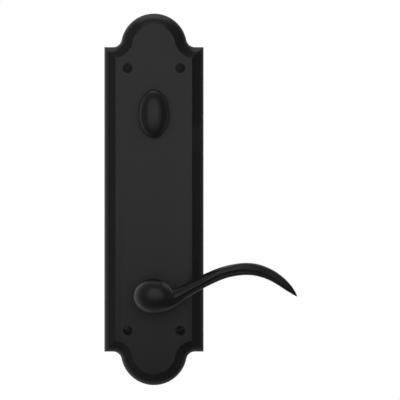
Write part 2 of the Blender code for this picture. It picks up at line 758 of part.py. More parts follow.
def neck_profile():
    """Neck and shank as one turned shape, from inside the bulb down to the shank's end."""
    inside = BULB_STANDOFF - BULB_HALF_DEPTH / 2
    flare = BULB_STANDOFF - BULB_HALF_DEPTH
    shoulder = NECK_BACK + NECK_SHOULDER
    profile = [(0, inside), (NECK_FLARE_RADIUS, inside)]
    for i in range(NECK_STEPS + 1):
        share = i / NECK_STEPS
        height = flare + (shoulder - flare) * share
        ends = NECK_FLARE_RADIUS + (NECK_SHOULDER_RADIUS - NECK_FLARE_RADIUS) * share
        hollow = (ends - NECK_WAIST_RADIUS) * math.sin(math.pi * share) ** 0.8
        profile.append((ends - hollow, height))
    groove = LEVER_SHANK_RADIUS - GROOVE_DEPTH
    profile += [(NECK_SHOULDER_RADIUS, NECK_BACK), (LEVER_SHANK_RADIUS, NECK_BACK)]
    profile += [(LEVER_SHANK_RADIUS, LEVER_RING_FRONT + SEAT_GAP), (groove, LEVER_RING_FRONT + SEAT_GAP)]
    profile += [(groove, LEVER_RING_BACK - SEAT_GAP), (LEVER_SHANK_RADIUS, LEVER_RING_BACK - SEAT_GAP)]
    profile += [(LEVER_SHANK_RADIUS, SHANK_END), (0, SHANK_END)]
    return profile


def make_lever():
    bulb_size = (BULB_HALF_LENGTH, BULB_HALF_HEIGHT, BULB_HALF_DEPTH)
    lever = egg("lever", (0, 0, BULB_STANDOFF), bulb_size, LEVER_AXIS, BLACK)
    arm = new_object("lever_arm", arm_mesh("lever_arm", ARM_STEPS), LEVER_AXIS, None)
    join(lever, arm, turned("lever_neck", neck_profile(), LEVER_AXIS, sides=FINE))
    hole = SPINDLE_SIDE + 2 * RUNNING_GAP
    top = NECK_BACK + SPINDLE_SEAT + SEAT_GAP
    bottom = SHANK_END - FIELD_WALL
    socket = box("spindle_socket", (hole, hole, top - bottom), (0, 0, (top + bottom) / 2), LEVER_AXIS)
    drop = NECK_SHOULDER_RADIUS + BULB_HALF_HEIGHT
    tapping = cylinder("set_screw_hole", SET_SCREW_RADIUS + RUNNING_GAP, 0, drop, LEVER_AXIS, sides=COARSE)
    tapping.location = (0, 0, SET_SCREW_HEIGHT)
    tapping.rotation_euler = (math.pi / 2, 0, 0)
    cut(lever, socket, tapping)
    return lever


def make_set_screw():
    """Socket set screw, up through the neck's underside against the spindle."""
    outer = NECK_WAIST_RADIUS - SET_SCREW_SINK
    inner = SPINDLE_SIDE / 2 + SEAT_GAP
    middle = (outer + inner) / 2
    beyond = outer + SET_SCREW_RADIUS
    screw = cylinder("lever_set_screw", SET_SCREW_RADIUS, inner, outer, LEVER_AXIS, STEEL, sides=COARSE)
    key = cylinder("set_screw_key", SET_SCREW_KEY / 2, middle, beyond, LEVER_AXIS, sides=6)
    for piece in (screw, key):
        piece.location = (0, 0, SET_SCREW_HEIGHT)
        piece.rotation_euler = (math.pi / 2, 0, 0)
    cut(screw, key)


def make_spindle():
    front = NECK_BACK + SPINDLE_SEAT
    length = front + SPINDLE_REACH
    size = (SPINDLE_SIDE, SPINDLE_SIDE, length)
    spindle = box("lever_spindle", size, (0, 0, front - length / 2), LEVER_AXIS, STEEL)
    bevel = spindle.modifiers.new("chamfer", "BEVEL")
    bevel.width = SPINDLE_CHAMFER
    bevel.segments = 1


# Return spring cassette


def eared_outline():
    """Round flange with an ear above and an ear below, each ear running straight in to the flange."""
    half = math.asin(EAR_RADIUS / CUP_FLANGE_RADIUS)
    outline = []
    for side in (0, math.pi):
        up = side + math.pi / 2
        outline += circle_points(CUP_FLANGE_RADIUS, sides=FINE, start=up - math.pi + half, end=up - half)
        centre = (EAR_CIRCLE * math.cos(up), EAR_CIRCLE * math.sin(up))
        outline += circle_points(EAR_RADIUS, centre, COARSE, side, side + math.pi)
    return outline


def ear_holes():
    hole = CASSETTE_SCREW_RADIUS + RUNNING_GAP
    return [circle_points(hole, place[:2], COARSE) for _, place in ear_places()]


def make_cassette_base():
    centre = circle_points(JOURNAL_RADIUS + RUNNING_GAP, sides=FINE)
    outlines = [eared_outline(), centre, *ear_holes()]
    flat_piece("cassette_base", outlines, BASE_BACK, BASE_FRONT, LEVER_AXIS, ZINC)


def stop_angle():
    """Angle from straight down to the middle of each stop, so that the tooth meets it at full swing."""
    between = TANG_WIDTH / 2 + STOP_WIDTH / 2 + SEAT_GAP
    return math.radians(LEVER_SWING) + math.asin(between / LUG_INNER)


def make_cassette_cup():
    """Drawn steel cup with the fixed lug that the spring's legs straddle, and the two stops."""
    wall = CUP_RADIUS + SHEET
    hole = JOURNAL_RADIUS + RUNNING_GAP
    profile = [(CUP_RADIUS, CUP_FRONT), (wall, CUP_FRONT), (wall, CUP_BACK), (hole, CUP_BACK)]
    profile += [(hole, CUP_FLOOR), (CUP_RADIUS, CUP_FLOOR)]
    cup = turned("cassette_cup", profile, LEVER_AXIS, ZINC, sides=FINE, closed=True)
    ring = circle_points(CUP_RADIUS + SHEET / 2, sides=FINE)
    flange = flat_piece(
        "cup_flange", [eared_outline(), ring, *ear_holes()], CUP_FLANGE_BACK, CUP_FRONT, LEVER_AXIS
    )
    top = CUP_FRONT - SEAT_GAP
    sunk = CUP_FLOOR - SHEET / 2
    height, middle = top - sunk, (top + sunk) / 2
    lug = box(
        "spring_lug",
        (TANG_WIDTH, LUG_DEPTH, height),
        (0, LUG_INNER + LUG_DEPTH / 2, middle),
        LEVER_AXIS,
    )
    join(cup, as_mesh(flange), lug)
    for side, turn in (("left", math.pi - stop_angle()), ("right", math.pi + stop_angle())):
        reach = CUP_RADIUS + SHEET / 2 - LUG_INNER
        place = (0, LUG_INNER + reach / 2, middle)
        join(cup, box(f"stop_{side}", (STOP_WIDTH, reach, height), place, LEVER_AXIS, turn=turn))


def make_drive_hub():
    """Hub on the spindle: two journals, and a disc with a stop tooth and the tang that winds the spring."""
    front = BASE_FRONT
    back = CUP_BACK - SEAT_GAP
    profile = [(0, front), (JOURNAL_RADIUS, front), (JOURNAL_RADIUS, DISC_FRONT)]
    profile += [(HUB_DISC_RADIUS, DISC_FRONT), (HUB_DISC_RADIUS, DISC_BACK)]
    profile += [(BARREL_RADIUS, DISC_BACK), (BARREL_RADIUS, BARREL_BACK)]
    profile += [(JOURNAL_RADIUS, BARREL_BACK), (JOURNAL_RADIUS, back), (0, back)]
    hub = turned("drive_hub", profile, LEVER_AXIS, ZINC_CAST, sides=FINE)
    top = (DISC_FRONT + DISC_BACK) / 2
    height = top - BARREL_BACK
    tang = box(
        "hub_tang",
        (TANG_WIDTH, TANG_DEPTH, height),
        (0, TANG_INNER + TANG_DEPTH / 2 - RUNNING_GAP, top - height / 2),
        LEVER_AXIS,
    )
    reach = STOP_REACH + TANG_DEPTH
    tooth = box(
        "stop_tooth",
        (TANG_WIDTH, reach, HUB_DISC),
        (0, -(TANG_INNER + reach / 2), (DISC_FRONT + DISC_BACK) / 2),
        LEVER_AXIS,
    )
    join(hub, tang, tooth)
    side = SPINDLE_SIDE + 2 * RUNNING_GAP
    length = front - back + 2 * SHEET
    cut(hub, box("hub_square", (side, side, length), (0, 0, (front + back) / 2), LEVER_AXIS))


def spring_path():
    """Centre line of the torsion spring: right leg down, round the barrel, and up the left leg."""
    tip = LUG_INNER + LUG_DEPTH - SEAT_GAP
    lean = math.asin(LEG_OFFSET / COIL_RADIUS)
    start = math.pi / 2 - lean
    total = COIL_TURNS * math.tau - 2 * lean
    steps = round(total / math.tau * COIL_STEPS)
    coil = []
    for i in range(steps + 1):
        angle = start - total * i / steps
        height = COIL_FRONT + (COIL_BACK - COIL_FRONT) * i / steps
        coil.append(Vector((COIL_RADIUS * math.cos(angle), COIL_RADIUS * math.sin(angle), height)))
    return bent_leg(coil[0], coil[1], LEG_OFFSET, tip) + coil[2:-2] + bent_leg(
        coil[-1], coil[-2], -LEG_OFFSET, tip
    )[::-1]


def bent_leg(corner, coil_point, x, tip):
    """A straight leg from its tip down to the coil, with a rounded bend where it joins."""
    above = Vector((x, corner.y + WIRE_DIAMETER, corner.z))
    points = [Vector((x, tip, corner.z)), Vector((x, (tip + above.y) / 2, corner.z)), above]
    for t in (0.3, 0.6, 0.85):
        points.append((1 - t) ** 2 * above + 2 * t * (1 - t) * corner + t * t * coil_point)
    return points + [coil_point]


def make_return_spring():
    curve = bpy.data.curves.new("return_spring", "CURVE")
    curve.dimensions = "3D"
    curve.bevel_depth = WIRE_DIAMETER / 2
    curve.bevel_resolution = 2
    curve.use_fill_caps = True
    path = spring_path()
    spline = curve.splines.new("POLY")
    spline.points.add(len(path) - 1)
    for point, place in zip(spline.points, path):
        point.co = (*place, 1)
    new_object("return_spring", curve, LEVER_AXIS, SPRING_STEEL)


def make_cassette_screw(name, place):
    """Pan head screw through both ears into its post on the plate."""
    head_front = CUP_FLANGE_BACK - SEAT_GAP
    head_back = head_front - CASSETTE_HEAD
    tip = CUP_FLANGE_BACK + CASSETTE_SCREW_BITE - SEAT_GAP
    edge = CASSETTE_HEAD / 2
    profile = [(0, tip), (CASSETTE_SCREW_RADIUS, tip), (CASSETTE_SCREW_RADIUS, head_front)]
    profile += [(CASSETTE_HEAD_RADIUS, head_front), (CASSETTE_HEAD_RADIUS, head_back + edge)]
    profile += [(CASSETTE_HEAD_RADIUS - edge, head_back), (0, head_back)]
    screw = turned(f"cassette_screw_{name}", profile, LEVER_AXIS, STEEL, place, COARSE)
    slot_size = (2 * CASSETTE_HEAD_RADIUS, RECESS_WIDTH, CASSETTE_HEAD)
    slot = box(f"slot_{name}", slot_size, (0, 0, head_back), LEVER_AXIS)
    slot.location = place
    cut(screw, slot)


# Turn knob


def knob_mesh():
    """Oval body: an ellipsoid whose front is fuller than its back."""
    bm = bmesh.new()
    bmesh.ops.create_uvsphere(bm, u_segments=MEDIUM, v_segments=MEDIUM // 2, radius=1)
    for vert in bm.verts:
        depth = KNOB_CROWN if vert.co.z > 0 else KNOB_BACK
        vert.co = (
            vert.co.x * KNOB_WIDTH / 2,
            vert.co.y * KNOB_HEIGHT / 2,
            KNOB_RIM_HEIGHT + vert.co.z * depth,
        )
    return mesh_from(bm, "turn_knob", 60)


def make_turn_knob():
    knob = new_object("turn_knob", knob_mesh(), TURN_AXIS, BLACK)
    inside = KNOB_RIM_HEIGHT
    groove = STEM_RADIUS - GROOVE_DEPTH
    profile = [(0, inside), (KNOB_NECK_RADIUS, inside), (KNOB_NECK_RADIUS, KNOB_NECK_BACK)]
    profile += [(STEM_RADIUS, KNOB_NECK_BACK), (STEM_RADIUS, TURN_CLIP_FRONT + SEAT_GAP)]
    profile += [(groove, TURN_CLIP_FRONT + SEAT_GAP), (groove, TURN_CLIP_BACK - SEAT_GAP)]
    profile += [(STEM_RADIUS, TURN_CLIP_BACK - SEAT_GAP), (STEM_RADIUS, STEM_END), (0, STEM_END)]
    join(knob, turned("knob_stem", profile, TURN_AXIS))
    width, thickness = BLADE_WIDTH + 2 * RUNNING_GAP, BLADE_THICKNESS + 2 * RUNNING_GAP
    depth = BLADE_SEAT + SEAT_GAP + FIELD_WALL
    middle = STEM_END - FIELD_WALL + depth / 2
    socket = box("blade_socket", (thickness, width, depth), (0, 0, middle), TURN_AXIS)
    across = 2 * STEM_RADIUS + FIELD_WALL
    cut(knob, socket, pin_hole("stem_pin_hole", PIN_RADIUS + RUNNING_GAP, across))


def pin_height():
    return STEM_END + STEM_TAIL / 2


def pin_hole(name, radius, length, material=None):
    """A cylinder across the stem, used for the pin and for the holes that it goes through."""
    pin = cylinder(name, radius, -length / 2, length / 2, TURN_AXIS, material, sides=COARSE)
    pin.location = (0, 0, pin_height())
    pin.rotation_euler = (0, math.pi / 2, 0)
    return pin


def make_tailpiece():
    front = STEM_END + BLADE_SEAT
    length = front + BLADE_REACH
    size = (BLADE_THICKNESS, BLADE_WIDTH, length)
    blade = box("turn_tailpiece", size, (0, 0, front - length / 2), TURN_AXIS, STEEL)
    bevel = blade.modifiers.new("edges", "BEVEL")
    bevel.width = BLADE_THICKNESS / 6
    bevel.segments = 1
    cut(blade, pin_hole("blade_pin_hole", PIN_RADIUS + RUNNING_GAP, 2 * STEM_RADIUS))
    pin_hole("tailpiece_pin", PIN_RADIUS, 2 * STEM_RADIUS - 2 * SEAT_GAP, STEEL)


clear_scene()
PARTS = new_collection("entry_door_trim")
HELPERS = new_collection("cutters_and_joined_shapes")

BLACK = new_material("satin_black_coat", (0.022, 0.022, 0.023), 0.42, 0.0)
BLACK_SCREW = new_material("black_oxide_screw", (0.012, 0.012, 0.013), 0.45, 0.3)
STEEL = new_material("plated_steel", (0.55, 0.56, 0.57), 0.32, 1.0)
ZINC = new_material("zinc_plated_sheet", (0.62, 0.63, 0.66), 0.38, 1.0)
ZINC_CAST = new_material("cast_zinc", (0.42, 0.43, 0.45), 0.5, 1.0)
SPRING_STEEL = new_material("spring_steel", (0.20, 0.20, 0.21), 0.35, 1.0)
BRONZE = new_material("oiled_bronze", (0.42, 0.26, 0.12), 0.4, 1.0)

DOOR = new_empty("door_face")
DOOR.rotation_euler = (math.pi / 2, 0, 0)
LEVER_AXIS = new_empty("lever_axis", DOOR, (0, LEVER_Y, 0))
TURN_AXIS = new_empty("turn_axis", DOOR, (0, TURN_Y, 0))

make_plate()
for screw_name, screw_place in screw_places():
    make_plate_screw(screw_name, screw_place)

make_bushing(
    "lever_bushing",
    LEVER_AXIS,
    LEVER_SHANK_RADIUS + RUNNING_GAP,
    LEVER_BUSHING_WALL,
    LEVER_FLANGE_RADIUS,
    LEVER_FLANGE_FRONT,
    FINE,
)
make_lever()
make_set_screw()
make_spindle()
make_washer(
    "lever_washer",
    LEVER_AXIS,
    LEVER_SHANK_RADIUS + RUNNING_GAP,
    BOSS_BORE_RADIUS - RADIAL_CLEARANCE,
    LEVER_WASHER_FRONT,
    LEVER_WASHER,
)
lever_ring = clip_outline(
    LEVER_SHANK_RADIUS - GROOVE_DEPTH + RUNNING_GAP,
    LEVER_SHANK_RADIUS + RUNNING_GAP,
    LEVER_RING_RADIUS,
    math.radians(40),
    3,
)
flat_piece(
    "lever_retaining_ring", [lever_ring], LEVER_RING_BACK, LEVER_RING_FRONT, LEVER_AXIS, SPRING_STEEL
)

make_cassette_base()
make_cassette_cup()
make_drive_hub()
make_return_spring()
for ear_name, ear_place in ear_places():
    make_cassette_screw(ear_name, ear_place)

make_bushing(
    "turn_bushing",
    TURN_AXIS,
    STEM_RADIUS + RUNNING_GAP,
    TURN_BUSHING_WALL,
    TURN_FLANGE_RADIUS,
    TURN_FLANGE_FRONT,
    MEDIUM,
)
make_turn_knob()
make_washer(
    "turn_wave_washer",
    TURN_AXIS,
    STEM_RADIUS + RUNNING_GAP,
    TURN_BOSS_BORE_RADIUS - RADIAL_CLEARANCE,
    TURN_WASHER_FRONT,
    TURN_WASHER,
    WAVE_HEIGHT,
)
turn_clip = clip_outline(
    STEM_RADIUS - GROOVE_DEPTH + RUNNING_GAP,
    STEM_RADIUS + RADIAL_CLEARANCE,
    TURN_CLIP_RADIUS,
    math.radians(70),
    3,
)
flat_piece(
    "turn_retaining_clip", [turn_clip], TURN_CLIP_BACK, TURN_CLIP_FRONT, TURN_AXIS, SPRING_STEEL
)
make_tailpiece()
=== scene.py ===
# %% [markdown]
# # Inside trim of an entry door handleset
#
# This is the part of a handleset that lives on the warm side of an entry door. A long cast plate with a
# dome at each end carries a wave lever, which works the latch, and an oval turn knob, which works the
# deadbolt. Behind the plate a torsion spring in a sheet metal cassette brings the lever back to level.
# The lesson dresses the engineering model in its real finishes: soft satin black in front, plated steel,
# zinc and bronze behind.
#
# The engineering model is loaded first and is never moved. Every piece made here is built in metres, in
# the same frame: x to the right, z up, and y into the door.

# %% Load the engineering model
import json
import math

import bmesh
import bpy
from mathutils import Matrix, Vector

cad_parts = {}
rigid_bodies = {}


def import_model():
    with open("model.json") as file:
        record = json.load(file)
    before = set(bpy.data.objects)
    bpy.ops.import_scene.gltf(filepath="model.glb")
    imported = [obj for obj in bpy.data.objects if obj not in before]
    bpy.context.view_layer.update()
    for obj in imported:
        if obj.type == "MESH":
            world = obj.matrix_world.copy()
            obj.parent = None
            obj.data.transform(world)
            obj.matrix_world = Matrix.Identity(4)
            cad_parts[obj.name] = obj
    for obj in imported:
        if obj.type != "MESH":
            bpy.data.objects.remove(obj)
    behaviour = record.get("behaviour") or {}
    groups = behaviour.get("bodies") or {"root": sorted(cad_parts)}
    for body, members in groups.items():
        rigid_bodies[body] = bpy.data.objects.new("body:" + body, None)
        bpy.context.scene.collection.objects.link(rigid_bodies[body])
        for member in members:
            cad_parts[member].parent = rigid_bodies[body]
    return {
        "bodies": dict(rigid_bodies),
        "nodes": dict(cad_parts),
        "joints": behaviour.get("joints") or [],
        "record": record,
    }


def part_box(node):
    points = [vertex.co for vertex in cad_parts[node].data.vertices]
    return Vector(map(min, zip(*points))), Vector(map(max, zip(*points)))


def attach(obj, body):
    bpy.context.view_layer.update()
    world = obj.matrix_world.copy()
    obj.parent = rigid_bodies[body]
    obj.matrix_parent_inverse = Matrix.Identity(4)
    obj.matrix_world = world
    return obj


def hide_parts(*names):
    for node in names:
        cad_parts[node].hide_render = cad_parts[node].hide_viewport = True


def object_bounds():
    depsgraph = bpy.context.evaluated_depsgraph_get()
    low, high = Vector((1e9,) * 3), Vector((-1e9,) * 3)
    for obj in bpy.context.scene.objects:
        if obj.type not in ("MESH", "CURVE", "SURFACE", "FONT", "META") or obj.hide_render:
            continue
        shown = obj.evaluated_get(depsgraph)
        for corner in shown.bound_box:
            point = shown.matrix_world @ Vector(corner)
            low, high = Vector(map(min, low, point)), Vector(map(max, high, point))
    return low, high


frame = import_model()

cad_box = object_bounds()
kept = set(frame["nodes"].values()) | set(frame["bodies"].values())
for thing in list(bpy.data.objects):
    if thing not in kept:
        bpy.data.objects.remove(thing)

# %% [markdown]
# ## The sizes that everything follows
#
# A designer would read the main sizes off the engineering model instead of typing them again, so that the
# looks follow when the part changes. The plate's box gives its width and depth. The two joints give the
# axes of the lever and of the turn knob. Heights are measured outwards from the door face, as a door fitter
# would, so a height of 11 mm lies at y = -11 mm.

# %% Read the sizes from the model
MM = 0.001
plate_low, plate_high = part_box("escutcheon_plate")
PLATE_WIDTH = plate_high.x - plate_low.x
PLATE_DEPTH = -plate_low.y
AXES = {joint["name"]: joint["pos_m"][2] for joint in frame["joints"]}
LEVER_Z = AXES["lever_swing"]
TURN_Z = AXES["knob_turn"]
TO_WALL = Matrix.Rotation(math.pi / 2, 4, "X")
print("plate width and depth:", round(PLATE_WIDTH, 4), round(PLATE_DEPTH, 4))
print("lever axis and turn axis, z:", round(LEVER_Z, 5), round(TURN_Z, 5))

# %% [markdown]
# ## Writing node maths in Python
#
# Shaders and Geometry Nodes are both graphs of small sums, which are slow to read as a list of nodes and
# links. So one small class wraps a node's output, and the signs between two wraps, or a wrap and a number,
# add the Math node. One more method makes any other node: its settings first, then what goes into it. The
# same class serves both kinds of tree.

# %% Methods that add a Math node


def named(operation):
    """A method that puts a wire, and the values after it, through this Math node."""
    return lambda wire, *others: wire.maths(operation, wire, *others)


def sign(operation):
    """The two methods of a sign: one for a wire on its left, one for a wire on its right."""
    return named(operation), lambda wire, other: wire.maths(operation, other, wire)


print("methods for each sign:", len(sign("ADD")))

# %% A wrap for sockets


class Wire:
    """One output of a node. Signs between wires and numbers add Math nodes to the wire's tree."""

    def __init__(self, tree, socket=None, node=None):
        self.tree = tree
        self.socket = socket
        self.node = node

    def make(self, kind, settings=None, sockets=None, output=0):
        """Add any node: settings are set first, then each socket gets its value or its link."""
        node = self.tree.nodes.new(kind)
        for name, value in (settings or {}).items():
            setattr(node, name, value)
        for key, value in (sockets or {}).items():
            if isinstance(value, Wire):
                self.tree.links.new(value.socket, node.inputs[key])
            else:
                node.inputs[key].default_value = value
        return Wire(self.tree, node.outputs[output] if len(node.outputs) else None, node)

    def other(self, output):
        """Another output of the node that this wire comes from."""
        return Wire(self.tree, self.node.outputs[output], self.node)

    def maths(self, operation, *values):
        return self.make("ShaderNodeMath", {"operation": operation}, dict(enumerate(values)))

    __add__, __radd__ = sign("ADD")
    __sub__, __rsub__ = sign("SUBTRACT")
    __mul__, __rmul__ = sign("MULTIPLY")
    __truediv__, __rtruediv__ = sign("DIVIDE")
    __mod__, __rmod__ = sign("FLOORED_MODULO")
    __pow__, __rpow__ = sign("POWER")
    __gt__, __lt__ = sign("GREATER_THAN")

    __abs__, whole = named("ABSOLUTE"), named("FLOOR")
    sine, cosine, arcsine = named("SINE"), named("COSINE"), named("ARCSINE")
    at_least, at_most = named("MAXIMUM"), named("MINIMUM")

    def __neg__(self):
        return self * -1

    def share(self):
        """The value, held between 0 and 1."""
        return self.at_least(0).at_most(1)

    def rising(self, start, width):
        """0 up to start, and then rising to 1 over this width."""
        return ((self - start) / width).share()

    def point(self, x, y, z):
        return self.make("ShaderNodeCombineXYZ", None, {0: x, 1: y, 2: z})


print("signs between wires:", sorted(name for name in vars(Wire) if name.startswith("__r")))

# %% [markdown]
# ## Satin black
#
# The real finish is a baked coat over a casting. From an arm's length it is an even black, and in the light
# it has a very fine skin like the peel of an orange, with slightly glossier and duller clouds where the
# coat flowed. A flat black would look like a hole, so the coat gets three things: a colour that drifts a
# little, a roughness that drifts with it, and two layers of bump, one for the peel and one for the fine
# grain. All three are read at the piece's own coordinates, so they keep still when a lever turns.

# %% Helpers for materials


def new_material(name, roughness, metallic=0.0):
    """A Principled material and a wire to start its tree from."""
    material = bpy.data.materials.new(name)
    material.use_nodes = True
    shader = material.node_tree.nodes["Principled BSDF"]
    shader.inputs["Roughness"].default_value = roughness
    shader.inputs["Metallic"].default_value = metallic
    return material, shader, Wire(material.node_tree)


def noise(start, scale, detail, stretch=(1, 1, 1), roughness=0.5):
    """Cloudy values around one half, on the piece's own coordinates, drawn out along an axis by stretch."""
    place = start.make("ShaderNodeTexCoord", output="Object")
    placed = start.make("ShaderNodeMapping", None, {"Vector": place, "Scale": stretch})
    sockets = {"Vector": placed, "Scale": scale, "Detail": detail, "Roughness": roughness}
    return start.make("ShaderNodeTexNoise", None, sockets)


def feed(shader, socket, wire):
    wire.tree.links.new(wire.socket, shader.inputs[socket])


def tint(start, amount, dark, light):
    """A colour between dark and light, by amount."""
    sockets = {0: amount, 6: (*dark, 1), 7: (*light, 1)}
    return start.make("ShaderNodeMix", {"data_type": "RGBA"}, sockets, output=2)


def bumped(start, height, distance, strength, normal=None):
    sockets = {"Height": height, "Distance": distance, "Strength": strength}
    if normal:
        sockets["Normal"] = normal
    return start.make("ShaderNodeBump", None, sockets)


print("material helpers ready")

# %% The satin black coat
COAT_DARK, COAT_LIGHT = (0.0046, 0.0046, 0.0048), (0.0064, 0.0064, 0.0067)
COAT_SPECULAR = 0.4
CLOUD_SCALE, PEEL_SCALE, GRAIN_SCALE = 38, 900, 3800
SMOOTHEST, CLOUD_ROUGHNESS, GRAIN_ROUGHNESS = 0.27, 0.06, 0.04
PEEL_DEPTH, GRAIN_DEPTH = 0.010 * MM, 0.004 * MM


def satin_black():
    material, shader, start = new_material("satin_black_coat", 0.4)
    shader.inputs["Specular IOR Level"].default_value = COAT_SPECULAR
    clouds = noise(start, CLOUD_SCALE, 3)
    peel = noise(start, PEEL_SCALE, 1)
    grain = noise(start, GRAIN_SCALE, 2)
    feed(shader, "Base Color", tint(start, clouds, COAT_DARK, COAT_LIGHT))
    feed(shader, "Roughness", SMOOTHEST + CLOUD_ROUGHNESS * clouds + GRAIN_ROUGHNESS * grain)
    rough = bumped(start, grain, GRAIN_DEPTH, 0.5)
    feed(shader, "Normal", bumped(start, peel, PEEL_DEPTH, 0.5, rough))
    return material


FINISHES = {"satin_black": satin_black()}
print("made", FINISHES["satin_black"].name)

# %% [markdown]
# ## The metals behind the plate
#
# The works behind the plate are bare or plated metal. The cassette is zinc plated sheet with faint blue
# spangles. The hub is cast zinc, grey and grainy. The spindle and the blade are plated bars, drawn through
# a die, so their grain runs along them. The springs are dark oil tempered wire and strip, and the sleeves
# are oiled bronze. The screws on the face are oiled black oxide, darker than the coat and a little
# glossier, so that they read as dark dots with small lights. One function makes them all, because they
# differ only in colours, grain and direction.

# %% The metals
OXIDE_SPECULAR = 0.32
GRAIN_SWING = 0.08
COARSER = 8


def metal(name, dark, light, roughness, metallic, scale, stretch=(1, 1, 1), depth=0.01 * MM):
    """A metal whose colour and roughness drift with its grain, which stretch draws out along an axis."""
    material, shader, start = new_material(name, roughness, metallic)
    if not metallic:
        shader.inputs["Specular IOR Level"].default_value = OXIDE_SPECULAR
    clouds = noise(start, scale / COARSER, 2)
    grain = noise(start, scale, 3, stretch, 0.6)
    mixed = 0.5 * clouds + 0.5 * grain
    feed(shader, "Base Color", tint(start, mixed, dark, light))
    feed(shader, "Roughness", roughness - GRAIN_SWING + 2 * GRAIN_SWING * grain)
    feed(shader, "Normal", bumped(start, grain, depth, 0.4))
    return material


OXIDE_DARK, OXIDE_LIGHT = (0.0022, 0.0022, 0.0024), (0.0036, 0.0036, 0.0038)
SHEET_DARK, SHEET_LIGHT = (0.52, 0.54, 0.58), (0.68, 0.69, 0.71)
METALS = {
    "black_screws": ("black_oxide", OXIDE_DARK, OXIDE_LIGHT, 0.2, 0.0, 900),
    "plated_steel": ("plated_steel", (0.46, 0.47, 0.48), (0.60, 0.61, 0.62), 0.3, 1.0, 900, (1, 0.06, 1)),
    "zinc_sheet": ("zinc_plated_sheet", SHEET_DARK, SHEET_LIGHT, 0.36, 1.0, 260),
    "cast_zinc": ("cast_zinc", (0.34, 0.35, 0.37), (0.47, 0.48, 0.50), 0.5, 1.0, 700, (1, 1, 1), 0.04 * MM),
    "spring_steel": ("oil_tempered_steel", (0.10, 0.10, 0.11), (0.20, 0.19, 0.19), 0.34, 1.0, 600),
    "oiled_bronze": ("oiled_bronze", (0.30, 0.17, 0.08), (0.48, 0.30, 0.14), 0.38, 1.0, 500),
}
FINISHES.update({slot: metal(*settings) for slot, settings in METALS.items()})
print("finishes:", sorted(FINISHES))

# %% [markdown]
# ## Making pieces
#
# Three small tools come before the pieces. One cleans a mesh: it merges doubles, points the faces outwards
# and marks the sharp edges. One adds or cuts whole shapes, the way bosses are added to a casting and bores
# are drilled through it. One grows a mesh from a Geometry Nodes tree and a base shape.

# %% Clean a mesh
MERGE = 0.0005 * MM


def as_mesh(bm, name):
    """A bmesh's shape as a mesh. The bmesh is let go."""
    mesh = bpy.data.meshes.new(name)
    bm.to_mesh(mesh)
    bm.free()
    return mesh


def tidy_mesh(mesh, sharp=32):
    """Merge doubles, drop faces with no area, point the rest outwards and mark edges over sharp degrees."""
    bm = bmesh.new()
    bm.from_mesh(mesh)
    bmesh.ops.remove_doubles(bm, verts=bm.verts, dist=MERGE)
    bmesh.ops.dissolve_degenerate(bm, edges=bm.edges, dist=MERGE)
    loops = [edge for edge in bm.edges if edge.is_boundary]
    if loops:
        bmesh.ops.holes_fill(bm, edges=loops, sides=0)
    bmesh.ops.recalc_face_normals(bm, faces=bm.faces)
    bm.to_mesh(mesh)
    bm.free()
    mesh.shade_smooth()
    mesh.set_sharp_from_angle(angle=math.radians(sharp))
    return mesh


print("meshes can be cleaned, doubles merge within", MERGE / MM, "mm")

# %% Add and cut whole shapes


def new_piece(name, mesh, material=None):
    piece = bpy.data.objects.new(name, mesh)
    mesh.name = name
    if material:
        mesh.materials.clear()
        mesh.materials.append(material)
    bpy.context.scene.collection.objects.link(piece)
    return piece


def frozen(piece):
    """The piece as its modifiers leave it, as a plain mesh. The piece itself is removed."""
    graph = bpy.context.evaluated_depsgraph_get()
    mesh = bpy.data.meshes.new_from_object(piece.evaluated_get(graph))
    bpy.data.objects.remove(piece)
    return mesh


def worked(mesh, added=(), cut=(), sharp=32):
    """A mesh with other meshes added to it, one after another, and then others cut out of it."""
    steps = [("UNION", tool_mesh) for tool_mesh in added]
    for operation, tool_mesh in steps + [("DIFFERENCE", tool_mesh) for tool_mesh in cut]:
        piece = new_piece("work", mesh)
        tool = new_piece("tool", tool_mesh)
        modifier = piece.modifiers.new("work", "BOOLEAN")
        modifier.operation = operation
        modifier.object = tool
        mesh = frozen(piece)
        bpy.data.objects.remove(tool)
    return tidy_mesh(mesh, sharp)


def block(size, low):
    """A box in face coordinates, centred on the axis, from this height up."""
    bm = bmesh.new()
    bmesh.ops.create_cube(bm, size=1)
    bmesh.ops.scale(bm, verts=bm.verts, vec=size)
    bmesh.ops.translate(bm, verts=bm.verts, vec=(0, 0, low + size[2] / 2))
    return as_mesh(bm, "block")


def moved(mesh, x, y):
    mesh.transform(Matrix.Translation((x, y, 0)))
    return mesh


def on_wall(mesh, axis_z=0.0):
    """Stand a mesh made in face coordinates, with z its height above the door, up on the door."""
    mesh.transform(Matrix.Translation((0, 0, axis_z)) @ TO_WALL)
    return mesh


print("shapes can be added and cut")

# %% Write and run a Geometry Nodes tree


def new_recipe(name, sizes):
    """A Geometry Nodes tree with a base shape and these named sizes, each as a wire."""
    tree = bpy.data.node_groups.new(name, "GeometryNodeTree")
    tree.interface.new_socket("Geometry", in_out="OUTPUT", socket_type="NodeSocketGeometry")
    tree.interface.new_socket("Base", in_out="INPUT", socket_type="NodeSocketGeometry")
    for label, value in sizes.items():
        kind = "NodeSocketInt" if isinstance(value, int) else "NodeSocketFloat"
        tree.interface.new_socket(label, in_out="INPUT", socket_type=kind).default_value = value
    start = Wire(tree).make("NodeGroupInput", output="Base")
    return start, {label: start.other(label) for label in sizes}


def end_recipe(geometry, slot):
    """Close a tree: instances become real, and the finish goes on."""
    real = geometry.make("GeometryNodeRealizeInstances", None, {"Geometry": geometry})
    finish = {"Geometry": real, "Material": FINISHES[slot]}
    done = real.make("GeometryNodeSetMaterial", None, finish)
    done.make("NodeGroupOutput", None, {"Geometry": done})
    return done.tree


